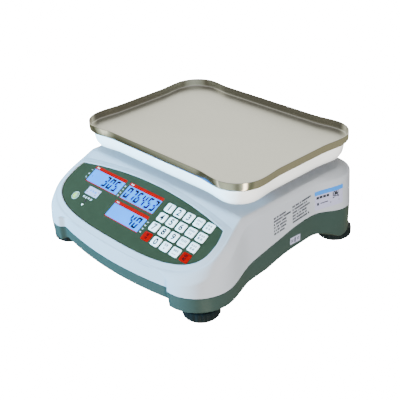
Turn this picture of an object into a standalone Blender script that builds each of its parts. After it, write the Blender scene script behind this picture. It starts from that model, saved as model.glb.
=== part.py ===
"""Bench counting scale: tray, platter, two-part housing, keypad console, feet and works.

Metres, +Z up. The front of the scale faces -Y and +X is its right-hand side. The origin is on
the bench, under the middle of the housing.
"""

import math

import bmesh
import bpy
import numpy as np
from mathutils import Matrix, Vector

# ---------------------------------------------------------------- overall
BODY_WIDTH = 0.313
BODY_LENGTH = 0.298
GAP = 0.0003            # between pieces that touch
SLIDE_GAP = 0.0003      # round a piece that slides in a hole
OVERRUN = 0.0100        # how far a cutter runs past what it cuts

# ---------------------------------------------------------------- tray and platter
TRAY_WIDTH = 0.300
TRAY_LENGTH = 0.2136
TRAY_CORNER = 0.037
TRAY_WAIST_FRONT = 0.0038
TRAY_WAIST_SIDE = 0.0030
TRAY_WAIST_RUN = 0.034      # length over which a side draws in beside a corner
TRAY_REAR_MARGIN = 0.0032   # from the tray's rear edge to the housing's rear face
TRAY_RIM = 0.0113
TRAY_SHEET = 0.0010
TRAY_FOLD = 0.0030          # outside radius between floor and rim
FOLD_SHARE = 0.3            # where the fold's middle lies between its two ends
PLATTER_INSET = 0.0051
PLATTER_HEIGHT = 0.0208
PLATTER_WALL = 0.0030
PLATTER_TAPER = 0.0060      # how far the platter's lower edge draws in
PLATTER_TOP_ROUND = 0.0030
PLATTER_LOW_ROUND = 0.0025
PLATTER_WAIST = 0.0080      # height of the bend in the platter's wall above its lower edge
PLATTER_LEAN = 0.0015       # how far the wall leans in above the bend

# ---------------------------------------------------------------- housing
DECK_Z = 0.1045
PLATTER_Z = 0.1157          # lower edge of the platter
WALL = 0.0025
WALL_DRAFT = 0.0012
FRONT_SAG = 0.0095          # how far the front face bows out between its two steps
REAR_SAG = 0.0030
FRONT_LOBE_RADIUS = 0.0470
FRONT_LOBE_REACH = 0.0040   # the front lobes stop this far behind the foremost point
REAR_LOBE_RADIUS = 0.0400
STEP_RUN = 0.0085           # width of the step between the front face and a lobe
STEP_FROM_LOBE = 0.0015     # from the lobe's arc centre to the step's outer end
SIDE_WAIST = 0.0095         # how far the side walls draw in between the lobes
FRONT_WAIST_RUN = 0.0520
REAR_WAIST_RUN = 0.0500
SHOULDER_INSET = 0.0175     # from the widest side line to the flat of the deck
SHOULDER_POWER = 1.7
RIDGE_DROP = 0.0525         # from the deck down to the ridge above the front face

# Side profiles as (distance from the front, height). The last pairs count from the rear.
CREASE_DROP_FRONT = ((0.004, 0.0565), (0.010, 0.0540), (0.029, 0.0460), (0.037, 0.0415),
                     (0.054, 0.0370), (0.066, 0.0275), (0.0755, 0.0205), (0.088, 0.0130),
                     (0.108, 0.0075), (0.135, 0.0065))
CREASE_DROP_REAR = ((0.030, 0.0065), (0.0, 0.0065))
PARTING_FRONT = ((0.052, 0.0345), (0.070, 0.0372), (0.098, 0.0440), (0.142, 0.0530),
                 (0.185, 0.0605))
PARTING_REAR = ((0.085, 0.0610), (0.045, 0.0545), (0.030, 0.0530))
EDGE_FRONT = ((0.055, 0.0135), (0.075, 0.0150), (0.100, 0.0195), (0.140, 0.0255),
              (0.168, 0.0283), (0.188, 0.0295))
EDGE_REAR = ((0.075, 0.0280), (0.052, 0.0175), (0.045, 0.0135))
FRONT_ARCH = 0.0035         # rise of the front and rear lower edges between the lobes
EDGE_ROUND = 0.0020
FLOOR_Z = 0.0305
FLOOR_MARGIN = 0.0105       # from the wall's outside to the flat floor
SHELF_RADIUS = 0.0238       # low shelf round each foot
SHELF_RAMP = 0.0060

# ---------------------------------------------------------------- console
PANEL_TILT = math.radians(29.5)
PANEL_ROW_FROM_FRONT = 0.0681   # first key row, back from the front face
PANEL_ROW_DROP = 0.0125         # first key row, down from the deck
PANEL_SIDE_MARGIN = 0.0192      # from the overlay's side to the housing's widest side line
PANEL_MIDDLE = 0.0185           # first key row down to the overlay's widest line
PANEL_LOWER = 0.0485            # overlay's widest line down to its lower edge
PANEL_UPPER_PEAK = 0.0185       # first key row up to the middle of the top edge
PANEL_CORNER_INSET = 0.0052
PANEL_CORNER_UP = 0.0037        # first key row up to the top corners
PANEL_POWER = 2.85              # squareness of the overlay's lower outline
BEZEL_WIDTH = 0.0072
BEZEL_LIP = 0.0018              # width of the bezel's raised inner lip
BEZEL_PROUD = 0.0011
BEZEL_EDGE = 0.0002             # how far the bezel's outer edge lies below the overlay's face
BEZEL_LAND = 0.0010             # level strip round the bezel
LAND_DROP = 0.0008
CONSOLE_FLOOR = 0.0020
OVERLAY_THICK = 0.0012

# ---------------------------------------------------------------- keys and displays
KEY_WIDTH = 0.0133
KEY_HEIGHT = 0.0117
KEY_GAP_X = 0.0036
KEY_GAP_Y = 0.0030
KEY_CORNER = 0.0018
KEY_PROUD = 0.0006
KEY_EDGE = 0.0003
KEY_LENGTH = 0.0055
KEY_TRAVEL = 0.0005
KEY_RIGHT_MARGIN = 0.01775      # last key column to the overlay's widest point
KEY_NAMES = (
    ("key_1", "key_2", "key_3", "key_weight_limit", "key_count_limit"),
    ("key_4", "key_5", "key_6", "key_unit_weight", "key_sample_count"),
    ("key_7", "key_8", "key_9", "key_tare", "key_total"),
    ("key_clear", "key_0", "key_decimal", "key_zero", "key_recall"),
)
RED_KEYS = ("key_clear", "key_recall")
KEY_ROWS, KEY_COLUMNS = len(KEY_NAMES), len(KEY_NAMES[0])
LCD_LEFT_MARGIN = 0.0310
LCD_KEY_GAP = 0.0108
LCD_GAP_X = 0.0083
LCD_HEIGHT = 0.0192
LCD_ROW_1 = 0.0064              # middle of the upper displays, down from the first key row
LCD_ROW_2 = 0.0354
LCD_RECESS = 0.0004
LCD_THICK = 0.0048
LCD_CORNER = 0.0004
BOARD_MARGIN = 0.0030           # display board beyond the displays and the keys
VIAL_RADIUS = 0.0060
VIAL_FROM_SIDE = 0.0356
VIAL_DOWN = 0.0414
LED_RADIUS = 0.0016
LED_FROM_SIDE = 0.0575
LED_DOWN = (0.0425, 0.0479)
WINDOW_RECESS = 0.0003          # vial's face below the overlay's
WINDOW_DEPTH = 0.0052           # lower ends of the vial and lamps below the overlay's face
BOARD_THICK = 0.0016

# ---------------------------------------------------------------- feet
FOOT_RADIUS = 0.0225
FOOT_HEIGHT = 0.0125
FOOT_TEETH = 20
FOOT_TOOTH = 0.0009
FOOT_TAPER = 0.0025
FOOT_FROM_SIDE = 0.0275         # foot centre in from the widest side line
FOOT_FROM_FRONT = 0.0350
FOOT_FROM_REAR = 0.0250
STUD_RADIUS = 0.0050
STUD_TOP = 0.0355
STUD_LEAD = 0.0006              # chamfer of the stud's lower end
STUD_TIP = 0.0010               # chamfer of its upper end
STUD_SOCKET = 0.0035            # height of the stud's lower end above the bench
BOSS_WALL = 0.0040
BOSS_TOP = 0.0375

# ---------------------------------------------------------------- weighing works
CELL_LENGTH = 0.1300
CELL_WIDTH = 0.0300
CELL_HEIGHT = 0.0220
CELL_BORE = 0.0075
CELL_BORE_PITCH = 0.0200        # bore's middle from the cell's middle
CELL_NECK = 0.0045              # height of the slot that joins the two bores
SPACER_HEIGHT = 0.0060
SPACER_LENGTH = 0.0360
FLEX_ROOM = 0.0007              # free height that the loaded cell may use
SPIDER_ARM = 0.0130
SPIDER_THICK = 0.0060
BRIDGE_WIDTH = 0.0240
HUB_WIDTH = 0.0270
BRIDGE_LAP = 0.0010             # how far the bridge reaches up into the arms
SPIDER_UNDER_DECK = 0.0150      # from the deck's top down to the arms' top
POST_RADIUS = 0.0050
POST_ROOM = 0.0030              # round a post in its hole through the deck
POST_ROOT = 0.0020              # how deep a post or the hub starts inside the arms
POST_X = 0.0700
POST_Y = 0.0450
CUSHION_RADIUS = 0.0080
CUSHION_THICK = 0.0034
STOP_RADIUS = 0.0040
STOP_FOOT_RADIUS = 0.0060
STOP_FOOT_HEIGHT = 0.0040
STOP_FOOT_CONE = 0.0010         # height of the cone above the stop's foot
STOP_FROM_CELL = 0.0075         # stop's middle, beyond the cell's free end
STOP_ROOM = 0.0006              # free height between the stop and the spider

# ---------------------------------------------------------------- electrics
BATTERY = (0.0660, 0.0970, 0.0330)
BATTERY_FROM_TRAY = 0.0120      # battery's middle, forward of the tray's
BATTERY_GAP = 0.0012            # battery to the inside of the side wall
TRANSFORMER = (0.0520, 0.0420, 0.0380)
TRANSFORMER_CORE = 0.0252       # length of the core between the coil's two ends
TRANSFORMER_COIL = (0.0322, 0.0236)     # width and height of the coil
TRANSFORMER_MARGIN = 0.0120     # core to the inside of the side wall
TRANSFORMER_FROM_TRAY = 0.0180  # behind the tray's middle
MAIN_BOARD = (0.1000, 0.0650)
MAIN_BOARD_Z = 0.0375
MAIN_BOARD_FROM_FRONT = 0.0885
COVER_SIZE = (0.0500, 0.0840)
INLET_WIDTH = 0.0230
INLET_HEIGHT = 0.0145
INLET_DEPTH = 0.0240
INLET_X = 0.0550
INLET_ABOVE_FLOOR = 0.0012
INLET_WALL = 0.0018
INLET_CAVITY = 0.0130
INLET_RECESS = 0.0030
INLET_CORNER = 0.0030
PIN_BELOW_FACE = 0.0070         # pins' ends below the inlet's face
PIN_ROOT = 0.0020               # how deep a pin starts in the inlet's body
PIN_SIZE = 0.0020
PIN_SPACING = 0.0086
SWITCH_SIZE = (0.0200, 0.0130, 0.0120)
SWITCH_FLANGE = 0.0015
SWITCH_FLANGE_REACH = 0.0020    # flange beyond the switch's body
SWITCH_WALL = 0.0020
SWITCH_LIFT = 0.0004            # body's lower end above the flange's lower face
SWITCH_ROOF = 0.0028
SWITCH_FROM_SIDE = 0.0680
SWITCH_FROM_TRAY = 0.0440       # switch's middle, forward of the tray's
ROCKER_RADIUS = 0.0056
ROCKER_PIN_UP = 0.0030          # rocker's axis above the flange's lower face
ROCKER_SIDE_GAP = 0.0004
ROCKER_FACE = ((-0.0056, -0.0012), (0.0, -0.0005), (0.0056, -0.0032))
SCREW_RADIUS = 0.0015
SCREW_HEAD = 0.0034
SCREW_LENGTH = 0.0130
SCREW_ROOM = 0.0020             # left under the screw's tip
SCREW_HEAD_HEIGHT = 0.0022
SCREW_HEAD_EDGE = 0.0010        # height of the head's rounded edge
PILLAR_RADIUS = 0.0045
PILLAR_FROM_SIDE = 0.0600
PILLAR_FROM_FRONT = 0.1040
PILLAR_FROM_REAR = 0.0625

# ---------------------------------------------------------------- worked out
HALF_WIDTH = BODY_WIDTH / 2
FRONT_Y = -BODY_LENGTH / 2
REAR_Y = BODY_LENGTH / 2
TRAY_Y = REAR_Y - TRAY_REAR_MARGIN - TRAY_LENGTH / 2
TRAY_Z = PLATTER_Z + PLATTER_HEIGHT + GAP
PANEL_HALF = HALF_WIDTH - PANEL_SIDE_MARGIN
PANEL_ORIGIN = Vector((0, FRONT_Y + PANEL_ROW_FROM_FRONT, DECK_Z - PANEL_ROW_DROP))
PANEL = Matrix.Translation(PANEL_ORIGIN) @ Matrix.Rotation(PANEL_TILT, 4, "X")
FOLD_Y = PANEL_ORIGIN.y + (PANEL_ROW_DROP + LAND_DROP) / math.tan(PANEL_TILT)
KEY_PITCH_X = KEY_WIDTH + KEY_GAP_X
KEY_PITCH_Y = KEY_HEIGHT + KEY_GAP_Y
BOARD_DROP = KEY_LENGTH - KEY_PROUD + KEY_TRAVEL + 2 * GAP      # overlay's face to the board
KEY_BLOCK_WIDTH = KEY_COLUMNS * KEY_PITCH_X - KEY_GAP_X
KEY_BLOCK_LEFT = PANEL_HALF - KEY_RIGHT_MARGIN - KEY_BLOCK_WIDTH
LCD_LEFT = -PANEL_HALF + LCD_LEFT_MARGIN
LCD_WIDTH = (KEY_BLOCK_LEFT - LCD_KEY_GAP - LCD_LEFT - LCD_GAP_X) / 2
CELL_Z = FLOOR_Z + WALL + GAP + SPACER_HEIGHT + GAP
INLET_Z = FLOOR_Z + WALL + INLET_ABOVE_FLOOR + INLET_HEIGHT / 2
ARM_TOP = DECK_Z - SPIDER_UNDER_DECK
BRIDGE_LOW = ARM_TOP - 2 * SPIDER_THICK + BRIDGE_LAP
PLATTER_ROOF = PLATTER_Z + PLATTER_HEIGHT - PLATTER_WALL
FEET = {
    "front_left": (-HALF_WIDTH + FOOT_FROM_SIDE, FRONT_Y + FOOT_FROM_FRONT),
    "front_right": (HALF_WIDTH - FOOT_FROM_SIDE, FRONT_Y + FOOT_FROM_FRONT),
    "rear_left": (-HALF_WIDTH + FOOT_FROM_SIDE, REAR_Y - FOOT_FROM_REAR),
    "rear_right": (HALF_WIDTH - FOOT_FROM_SIDE, REAR_Y - FOOT_FROM_REAR),
}
PILLARS = {
    "front_left": (-HALF_WIDTH + PILLAR_FROM_SIDE, FRONT_Y + PILLAR_FROM_FRONT),
    "front_right": (HALF_WIDTH - PILLAR_FROM_SIDE, FRONT_Y + PILLAR_FROM_FRONT),
    "rear_left": (-HALF_WIDTH + PILLAR_FROM_SIDE, REAR_Y - PILLAR_FROM_REAR),
    "rear_right": (HALF_WIDTH - PILLAR_FROM_SIDE, REAR_Y - PILLAR_FROM_REAR),
}
POSTS = {
    "front_left": (-POST_X, TRAY_Y - POST_Y),
    "front_right": (POST_X, TRAY_Y - POST_Y),
    "rear_left": (-POST_X, TRAY_Y + POST_Y),
    "rear_right": (POST_X, TRAY_Y + POST_Y),
}


# ---------------------------------------------------------------- scene and materials
def clear_scene():
    for old in list(bpy.data.objects):
        bpy.data.objects.remove(old)


def material(name, color, roughness, metallic=0.0):
    mat = bpy.data.materials.new(name)
    mat.use_nodes = True
    shader = mat.node_tree.nodes["Principled BSDF"]
    shader.inputs["Base Color"].default_value = (*color, 1.0)
    shader.inputs["Roughness"].default_value = roughness
    shader.inputs["Metallic"].default_value = metallic
    mat.diffuse_color = (*color, 1.0)
    return mat


# ---------------------------------------------------------------- mesh helpers
def loft(loops, wrap=False):
    """Closed body through loops of equal length; flat caps end it unless it wraps round."""
    bm = bmesh.new()
    rows = [[bm.verts.new(point) for point in loop] for loop in loops]
    pairs = list(zip(rows, rows[1:]))
    if wrap:
        pairs.append((rows[-1], rows[0]))
    for low, high in pairs:
        for i in range(len(low)):
            j = (i + 1) % len(low)
            bm.faces.new((low[i], low[j], high[j], high[i]))
    if not wrap:
        bm.faces.new(list(reversed(rows[0])))
        bm.faces.new(rows[-1])
    bmesh.ops.recalc_face_normals(bm, faces=bm.faces)
    return bm


def flat(outline, z):
    return [(x, y, z) for x, y in outline]


def prism(outline, low, high):
    return loft([flat(outline, low), flat(outline, high)])


def block(size, centre):
    half_x, half_y, half_z = (side / 2 for side in size)
    x, y, z = centre
    outline = [(x - half_x, y - half_y), (x + half_x, y - half_y),
               (x + half_x, y + half_y), (x - half_x, y + half_y)]
    return prism(outline, z - half_z, z + half_z)


def circle(radius, steps, centre=(0.0, 0.0)):
    turn = 2 * math.pi / steps
    return [(centre[0] + radius * math.cos(turn * i), centre[1] + radius * math.sin(turn * i))
            for i in range(steps)]


def rounded_rectangle(width, height, radius, centre=(0.0, 0.0), steps=3):
    """Rectangle with round corners, anticlockwise from the right-hand lower corner."""
    points = []
    for number, (side_x, side_y) in enumerate(((1, -1), (1, 1), (-1, 1), (-1, -1))):
        corner_x = centre[0] + side_x * (width / 2 - radius)
        corner_y = centre[1] + side_y * (height / 2 - radius)
        start = math.radians(90 * number - 90)
        for i in range(steps + 1):
            angle = start + math.pi / 2 * i / steps
            points.append((corner_x + radius * math.cos(angle),
                           corner_y + radius * math.sin(angle)))
    return points


def add_object(name, bm, mat, matrix=None, origin=None, smooth_angle=30):
    """Turn a bmesh into an object; origin moves the pivot without moving the shape."""
    mesh = bpy.data.meshes.new(name)
    if origin is not None:
        bmesh.ops.translate(bm, verts=bm.verts, vec=-Vector(origin))
    bm.to_mesh(mesh)
    bm.free()
    mesh.materials.append(mat)
    mesh.shade_smooth()
    mesh.set_sharp_from_angle(angle=math.radians(smooth_angle))
    obj = bpy.data.objects.new(name, mesh)
    if matrix is not None:
        obj.matrix_world = matrix
    if origin is not None:
        obj.location = origin
    bpy.context.scene.collection.objects.link(obj)
    return obj


def combine(bm, other, operation, matrix=None):
    """Boolean of two closed bodies, the second placed by matrix; returns the result."""
    if matrix is not None:
        bmesh.ops.transform(other, matrix=matrix, verts=other.verts)
    holders = []
    for number, body in enumerate((bm, other)):
        mesh = bpy.data.meshes.new(f"boolean_{number}")
        body.to_mesh(mesh)
        body.free()
        holder = bpy.data.objects.new(f"boolean_{number}", mesh)
        bpy.context.scene.collection.objects.link(holder)
        holders.append(holder)
    cut = holders[0].modifiers.new("cut", "BOOLEAN")
    cut.operation = operation
    cut.object = holders[1]
    cut.solver = "EXACT"
    evaluated = holders[0].evaluated_get(bpy.context.evaluated_depsgraph_get())
    result = bmesh.new()
    result.from_mesh(evaluated.to_mesh())
    for holder in holders:
        bpy.data.objects.remove(holder)
    bmesh.ops.dissolve_degenerate(result, dist=1e-6, edges=result.edges)
    return result


def joined(bodies):
    """Several closed bodies that don't touch, as one cutter."""
    mesh = bpy.data.meshes.new("joined")
    result = bmesh.new()
    for body in bodies:
        body.to_mesh(mesh)
        body.free()
        result.from_mesh(mesh)
    bpy.data.meshes.remove(mesh)
    return result


# ---------------------------------------------------------------- curves
def smooth(value):
    value = min(max(value, 0.0), 1.0)
    return value * value * (3 - 2 * value)


def profile(front_pairs, rear_pairs):
    """Height as a smooth function of y through pairs measured from the front and the rear."""
    stations = [(FRONT_Y + run, height) for run, height in front_pairs]
    stations += [(REAR_Y - run, height) for run, height in rear_pairs]
    ys = np.array([station[0] for station in stations])
    heights = np.array([station[1] for station in stations])
    slopes = np.gradient(heights, ys)
    slopes[0] = slopes[-1] = 0.0

    def height_at(y):
        if y <= ys[0]:
            return heights[0]
        if y >= ys[-1]:
            return heights[-1]
        i = int(np.searchsorted(ys, y)) - 1
        span = ys[i + 1] - ys[i]
        t = (y - ys[i]) / span
        low = (2 * t**3 - 3 * t**2 + 1) * heights[i] + (t**3 - 2 * t**2 + t) * span * slopes[i]
        high = (3 * t**2 - 2 * t**3) * heights[i + 1] + (t**3 - t**2) * span * slopes[i + 1]
        return low + high

    return height_at


crease_drop = profile(CREASE_DROP_FRONT, CREASE_DROP_REAR)
parting_height = profile(PARTING_FRONT, PARTING_REAR)
wall_edge = profile(EDGE_FRONT, EDGE_REAR)


def edge_height(y):
    """Height of a side wall's lower edge, which never rises above the floor."""
    return min(wall_edge(y), FLOOR_Z)


LOBE_X = HALF_WIDTH - FRONT_LOBE_RADIUS
STEP_OUTER_X = LOBE_X - STEP_FROM_LOBE
STEP_INNER_X = STEP_OUTER_X - STEP_RUN
FRONT_LOBE_Y = FRONT_Y + FRONT_LOBE_REACH + FRONT_LOBE_RADIUS
REAR_LOBE_Y = REAR_Y - REAR_SAG - REAR_LOBE_RADIUS
FRONT_STEPS, STEP_STEPS, LOBE_STEPS, SIDE_STEPS, REAR_LOBE_STEPS, REAR_STEPS = 5, 3, 7, 11, 5, 3


def side_x(y):
    """Half-width of the side wall, which draws in between the lobes."""
    front = smooth((y - FRONT_LOBE_Y) / FRONT_WAIST_RUN)
    rear = smooth((REAR_LOBE_Y - y) / REAR_WAIST_RUN)
    return HALF_WIDTH - SIDE_WAIST * front * rear


def side_stations():
    """Places along a side wall, one of them where the deck folds into the console."""
    front = int(SIDE_STEPS * (FOLD_Y - FRONT_LOBE_Y) / (REAR_LOBE_Y - FRONT_LOBE_Y)) + 1
    first = np.linspace(FRONT_LOBE_Y, FOLD_Y, front + 1)
    second = np.linspace(FOLD_Y, REAR_LOBE_Y, SIDE_STEPS - front + 1)
    return list(first) + list(second[1:])


def half_outline():
    """Right half of the housing's plan, from the middle of the front to that of the rear."""
    points = []
    for i in range(FRONT_STEPS):
        x = STEP_INNER_X * i / FRONT_STEPS
        points.append((x, FRONT_Y + FRONT_SAG * (x / STEP_INNER_X) ** 2))
    lobe_front = FRONT_LOBE_Y - math.sqrt(FRONT_LOBE_RADIUS**2 - STEP_FROM_LOBE**2)
    for i in range(STEP_STEPS):
        x = STEP_INNER_X + STEP_RUN * i / STEP_STEPS
        start = FRONT_Y + FRONT_SAG
        points.append((x, start + (lobe_front - start) * smooth(i / STEP_STEPS)))
    first = -math.pi / 2 - math.asin(STEP_FROM_LOBE / FRONT_LOBE_RADIUS)
    for i in range(LOBE_STEPS):
        angle = first * (1 - i / LOBE_STEPS)
        points.append((LOBE_X + FRONT_LOBE_RADIUS * math.cos(angle),
                       FRONT_LOBE_Y + FRONT_LOBE_RADIUS * math.sin(angle)))
    points += [(side_x(y), y) for y in side_stations()[:-1]]
    for i in range(REAR_LOBE_STEPS):
        angle = math.pi / 2 * i / REAR_LOBE_STEPS
        points.append((HALF_WIDTH - REAR_LOBE_RADIUS * (1 - math.cos(angle)),
                       REAR_LOBE_Y + REAR_LOBE_RADIUS * math.sin(angle)))
    rear_x = HALF_WIDTH - REAR_LOBE_RADIUS
    for i in range(REAR_STEPS + 1):
        x = rear_x * (1 - i / REAR_STEPS)
        points.append((x, REAR_Y - REAR_SAG * (x / rear_x) ** 2))
    return points


def both_halves(half):
    """Whole loop from its right half, whose ends lie on the middle plane."""
    return half + [(-x, *rest) for x, *rest in reversed(half[1:-1])]


def inward(loop, distance):
    """Loop moved inward by a distance, along each point's own normal."""
    ring = np.array(loop)
    tangent = np.roll(ring, -1, axis=0) - np.roll(ring, 1, axis=0)
    tangent /= np.linalg.norm(tangent, axis=1)[:, None]
    return [tuple(point) for point in ring + distance * np.c_[-tangent[:, 1], tangent[:, 0]]]


def resample(points, count):
    """Points at equal spacing along a polyline, the last one left out."""
    line = np.array(points)
    run = np.r_[0, np.cumsum(np.linalg.norm(np.diff(line, axis=0), axis=1))]
    places = np.linspace(0, run[-1], count + 1)[:-1]
    return [(float(np.interp(s, run, line[:, 0])), float(np.interp(s, run, line[:, 1])))
            for s in places]


# ---------------------------------------------------------------- console outline
def panel_lower(grow, steps):
    """Lower right quarter of the console outline, from the middle to the widest point."""
    points = []
    for i in range(steps + 1):
        angle = math.pi / 2 * (i / steps - 1)
        x = (PANEL_HALF + grow) * math.cos(angle) ** (2 / PANEL_POWER)
        up = -(PANEL_LOWER + grow) * abs(math.sin(angle)) ** (2 / PANEL_POWER)
        points.append((x, up - PANEL_MIDDLE))
    return points


def panel_outline(grow, steps=14, top_steps=5):
    """Console outline in the panel's own plane, x right and y up the slope."""
    half = panel_lower(grow, steps)
    corner_x = PANEL_HALF - PANEL_CORNER_INSET + grow
    corner_up = PANEL_CORNER_UP + grow
    for i in (1, 2, 3):
        part = i / 3
        half.append((PANEL_HALF + grow - PANEL_CORNER_INSET * part**2,
                     -PANEL_MIDDLE + (corner_up + PANEL_MIDDLE) * part))
    peak = PANEL_UPPER_PEAK + grow
    for i in range(1, top_steps + 1):
        x = corner_x * (1 - i / top_steps)
        half.append((x, peak - (peak - corner_up) * (x / corner_x) ** 2))
    return both_halves(half)


def deck_height(y):
    slope = PANEL_ORIGIN.z - LAND_DROP + (y - PANEL_ORIGIN.y) * math.tan(PANEL_TILT)
    return min(DECK_Z, slope)


def half_top_loop():
    """Inner end of the shoulder: round the bezel at the front, along the deck behind it."""
    reach = BEZEL_WIDTH + BEZEL_LAND
    front = [(x, PANEL_ORIGIN.y + up * math.cos(PANEL_TILT))
             for x, up in panel_lower(reach, 40)]
    points = resample(front, FRONT_STEPS + STEP_STEPS + LOBE_STEPS)
    inner_x = HALF_WIDTH - SHOULDER_INSET
    corner = REAR_LOBE_RADIUS - SHOULDER_INSET
    start_x, start_y = front[-1]
    for y in side_stations()[:-1]:
        part = smooth((y - FRONT_LOBE_Y) / (FOLD_Y - FRONT_LOBE_Y))
        along = (y - FRONT_LOBE_Y) / (FOLD_Y - FRONT_LOBE_Y)
        points.append((start_x + (inner_x - start_x) * part,
                       y if along >= 1 else start_y + (FOLD_Y - start_y) * along))
    for i in range(REAR_LOBE_STEPS):
        angle = math.pi / 2 * i / REAR_LOBE_STEPS
        points.append((inner_x - corner * (1 - math.cos(angle)),
                       REAR_LOBE_Y + corner * math.sin(angle)))
    rear_x = inner_x - corner
    for i in range(REAR_STEPS + 1):
        x = rear_x * (1 - i / REAR_STEPS)
        points.append((x, REAR_LOBE_Y + corner + REAR_SAG * (1 - (x / rear_x) ** 2)))
    return points


# ---------------------------------------------------------------- housing loops
def crease_height(x, y):
    """Height of the edge above the side wall; the front face has its own straight ridge."""
    side = DECK_Z - crease_drop(y)
    on_front = smooth((STEP_OUTER_X - abs(x)) / STEP_RUN) if y < FRONT_LOBE_Y else 0.0
    return side + (DECK_Z - RIDGE_DROP - side) * on_front


def lower_edge_height(x, y):
    """Height of the housing's lower edge: low at the lobes, arched between them."""
    if FRONT_LOBE_Y < y < REAR_LOBE_Y:
        return edge_height(y)
    return edge_height(y) + FRONT_ARCH * smooth((STEP_OUTER_X - abs(x)) / STEP_RUN)


def shoulder_loops(skin, rings):
    """Loops from the crease up the rounded shoulder to the deck, skin metres inside it."""
    crease = inward(both_halves(half_outline()), WALL_DRAFT + skin)
    top = both_halves(half_top_loop())
    loops = []
    for ring in range(rings + 1):
        part = ring / rings
        rise = 1 - (1 - part) ** SHOULDER_POWER
        loop = []
        for (crease_x, crease_y), (top_x, top_y) in zip(crease, top):
            low = crease_height(crease_x, crease_y) - skin / 2
            high = deck_height(top_y) - skin
            loop.append((crease_x + (top_x - crease_x) * part,
                         crease_y + (top_y - crease_y) * part,
                         low + (high - low) * rise))
        loops.append(loop)
    return loops


def add_ladder(bm, row, outward):
    """Close a loop with strips across the middle plane, each as wide as the loop there."""
    half = len(row) // 2
    for i in range(half):
        ends = [row[i], row[i + 1], row[-i - 1], row[-i]]
        face = list(dict.fromkeys(ends))
        bm.faces.new(face if outward else list(reversed(face)))


def upper_shell():
    """Upper housing's thin shell, open underneath along the parting line."""
    outline = both_halves(half_outline())
    parting = [(x, y, parting_height(y)) for x, y in outline]
    inner = [(x, y, parting_height(y)) for x, y in inward(outline, WALL)]
    loops = list(reversed(shoulder_loops(WALL, 3))) + [inner, parting] + shoulder_loops(0.0, 5)
    bm = bmesh.new()
    rows = [[bm.verts.new(point) for point in loop] for loop in loops]
    for low, high in zip(rows, rows[1:]):
        for i in range(len(low)):
            j = (i + 1) % len(low)
            bm.faces.new((low[i], low[j], high[j], high[i]))
    add_ladder(bm, rows[-1], True)
    add_ladder(bm, rows[0], False)
    bmesh.ops.recalc_face_normals(bm, faces=bm.faces)
    return bm


def half_floor_loop():
    """Right half of the flat floor's edge, which bends round the shelves of the feet."""
    ring = SHELF_RADIUS + SHELF_RAMP
    foot_x, front_y = FEET["front_right"]
    rear_y = FEET["rear_right"][1]
    inner_x = foot_x - ring
    points = []
    for i in range(FRONT_STEPS):
        x = inner_x * i / FRONT_STEPS
        points.append((x, FRONT_Y + FLOOR_MARGIN + FRONT_SAG * (x / inner_x) ** 2))
    low_y = FRONT_Y + FLOOR_MARGIN + FRONT_SAG
    for i in range(STEP_STEPS):
        points.append((inner_x, low_y + (front_y - low_y) * i / STEP_STEPS))
    for i in range(LOBE_STEPS):
        angle = math.pi - math.pi / 2 * i / LOBE_STEPS
        points.append((foot_x + ring * math.cos(angle), front_y + ring * math.sin(angle)))
    first, last = front_y + ring, rear_y - ring
    for i in range(SIDE_STEPS):
        y = first + (last - first) * i / SIDE_STEPS
        wall = side_x(y) - FLOOR_MARGIN
        near = smooth((y - first) / ring) * smooth((last - y) / ring)
        points.append((foot_x + (wall - foot_x) * near, y))
    for i in range(REAR_LOBE_STEPS):
        angle = -math.pi / 2 * (1 + i / REAR_LOBE_STEPS)
        points.append((foot_x + ring * math.cos(angle), rear_y + ring * math.sin(angle)))
    points.append((inner_x, rear_y))
    high_y = REAR_Y - REAR_SAG - FLOOR_MARGIN
    for i in range(REAR_STEPS):
        points.append((inner_x * (1 - i / (REAR_STEPS - 1)), high_y))
    return points


def lower_shell():
    """Lower housing's tray: outer wall, low shelves for the feet and a raised flat floor."""
    outline = both_halves(half_outline())
    ground = inward(outline, WALL_DRAFT)
    edge = inward(outline, WALL_DRAFT + EDGE_ROUND)
    inner_edge = inward(outline, WALL_DRAFT + EDGE_ROUND + WALL)
    heights = [lower_edge_height(x, y) for x, y in outline]
    level = both_halves(half_floor_loop())
    shelf = [(x, y, z) for (x, y), z in zip(inward(level, -SHELF_RAMP), heights)]
    floor = flat(level, FLOOR_Z)
    loops = [
        floor,
        shelf,
        [(x, y, z) for (x, y), z in zip(edge, heights)],
        [(x, y, z + EDGE_ROUND) for (x, y), z in zip(ground, heights)],
        [(x, y, parting_height(y) - GAP) for x, y in outline],
        [(x, y, parting_height(y) - GAP) for x, y in inward(outline, WALL)],
        [(x, y, z + WALL) for (x, y), z in zip(inner_edge, heights)],
        [(x, y, z + WALL) for x, y, z in shelf],
        [(x, y, z + WALL) for x, y, z in floor],
    ]
    return loft(loops)


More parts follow.
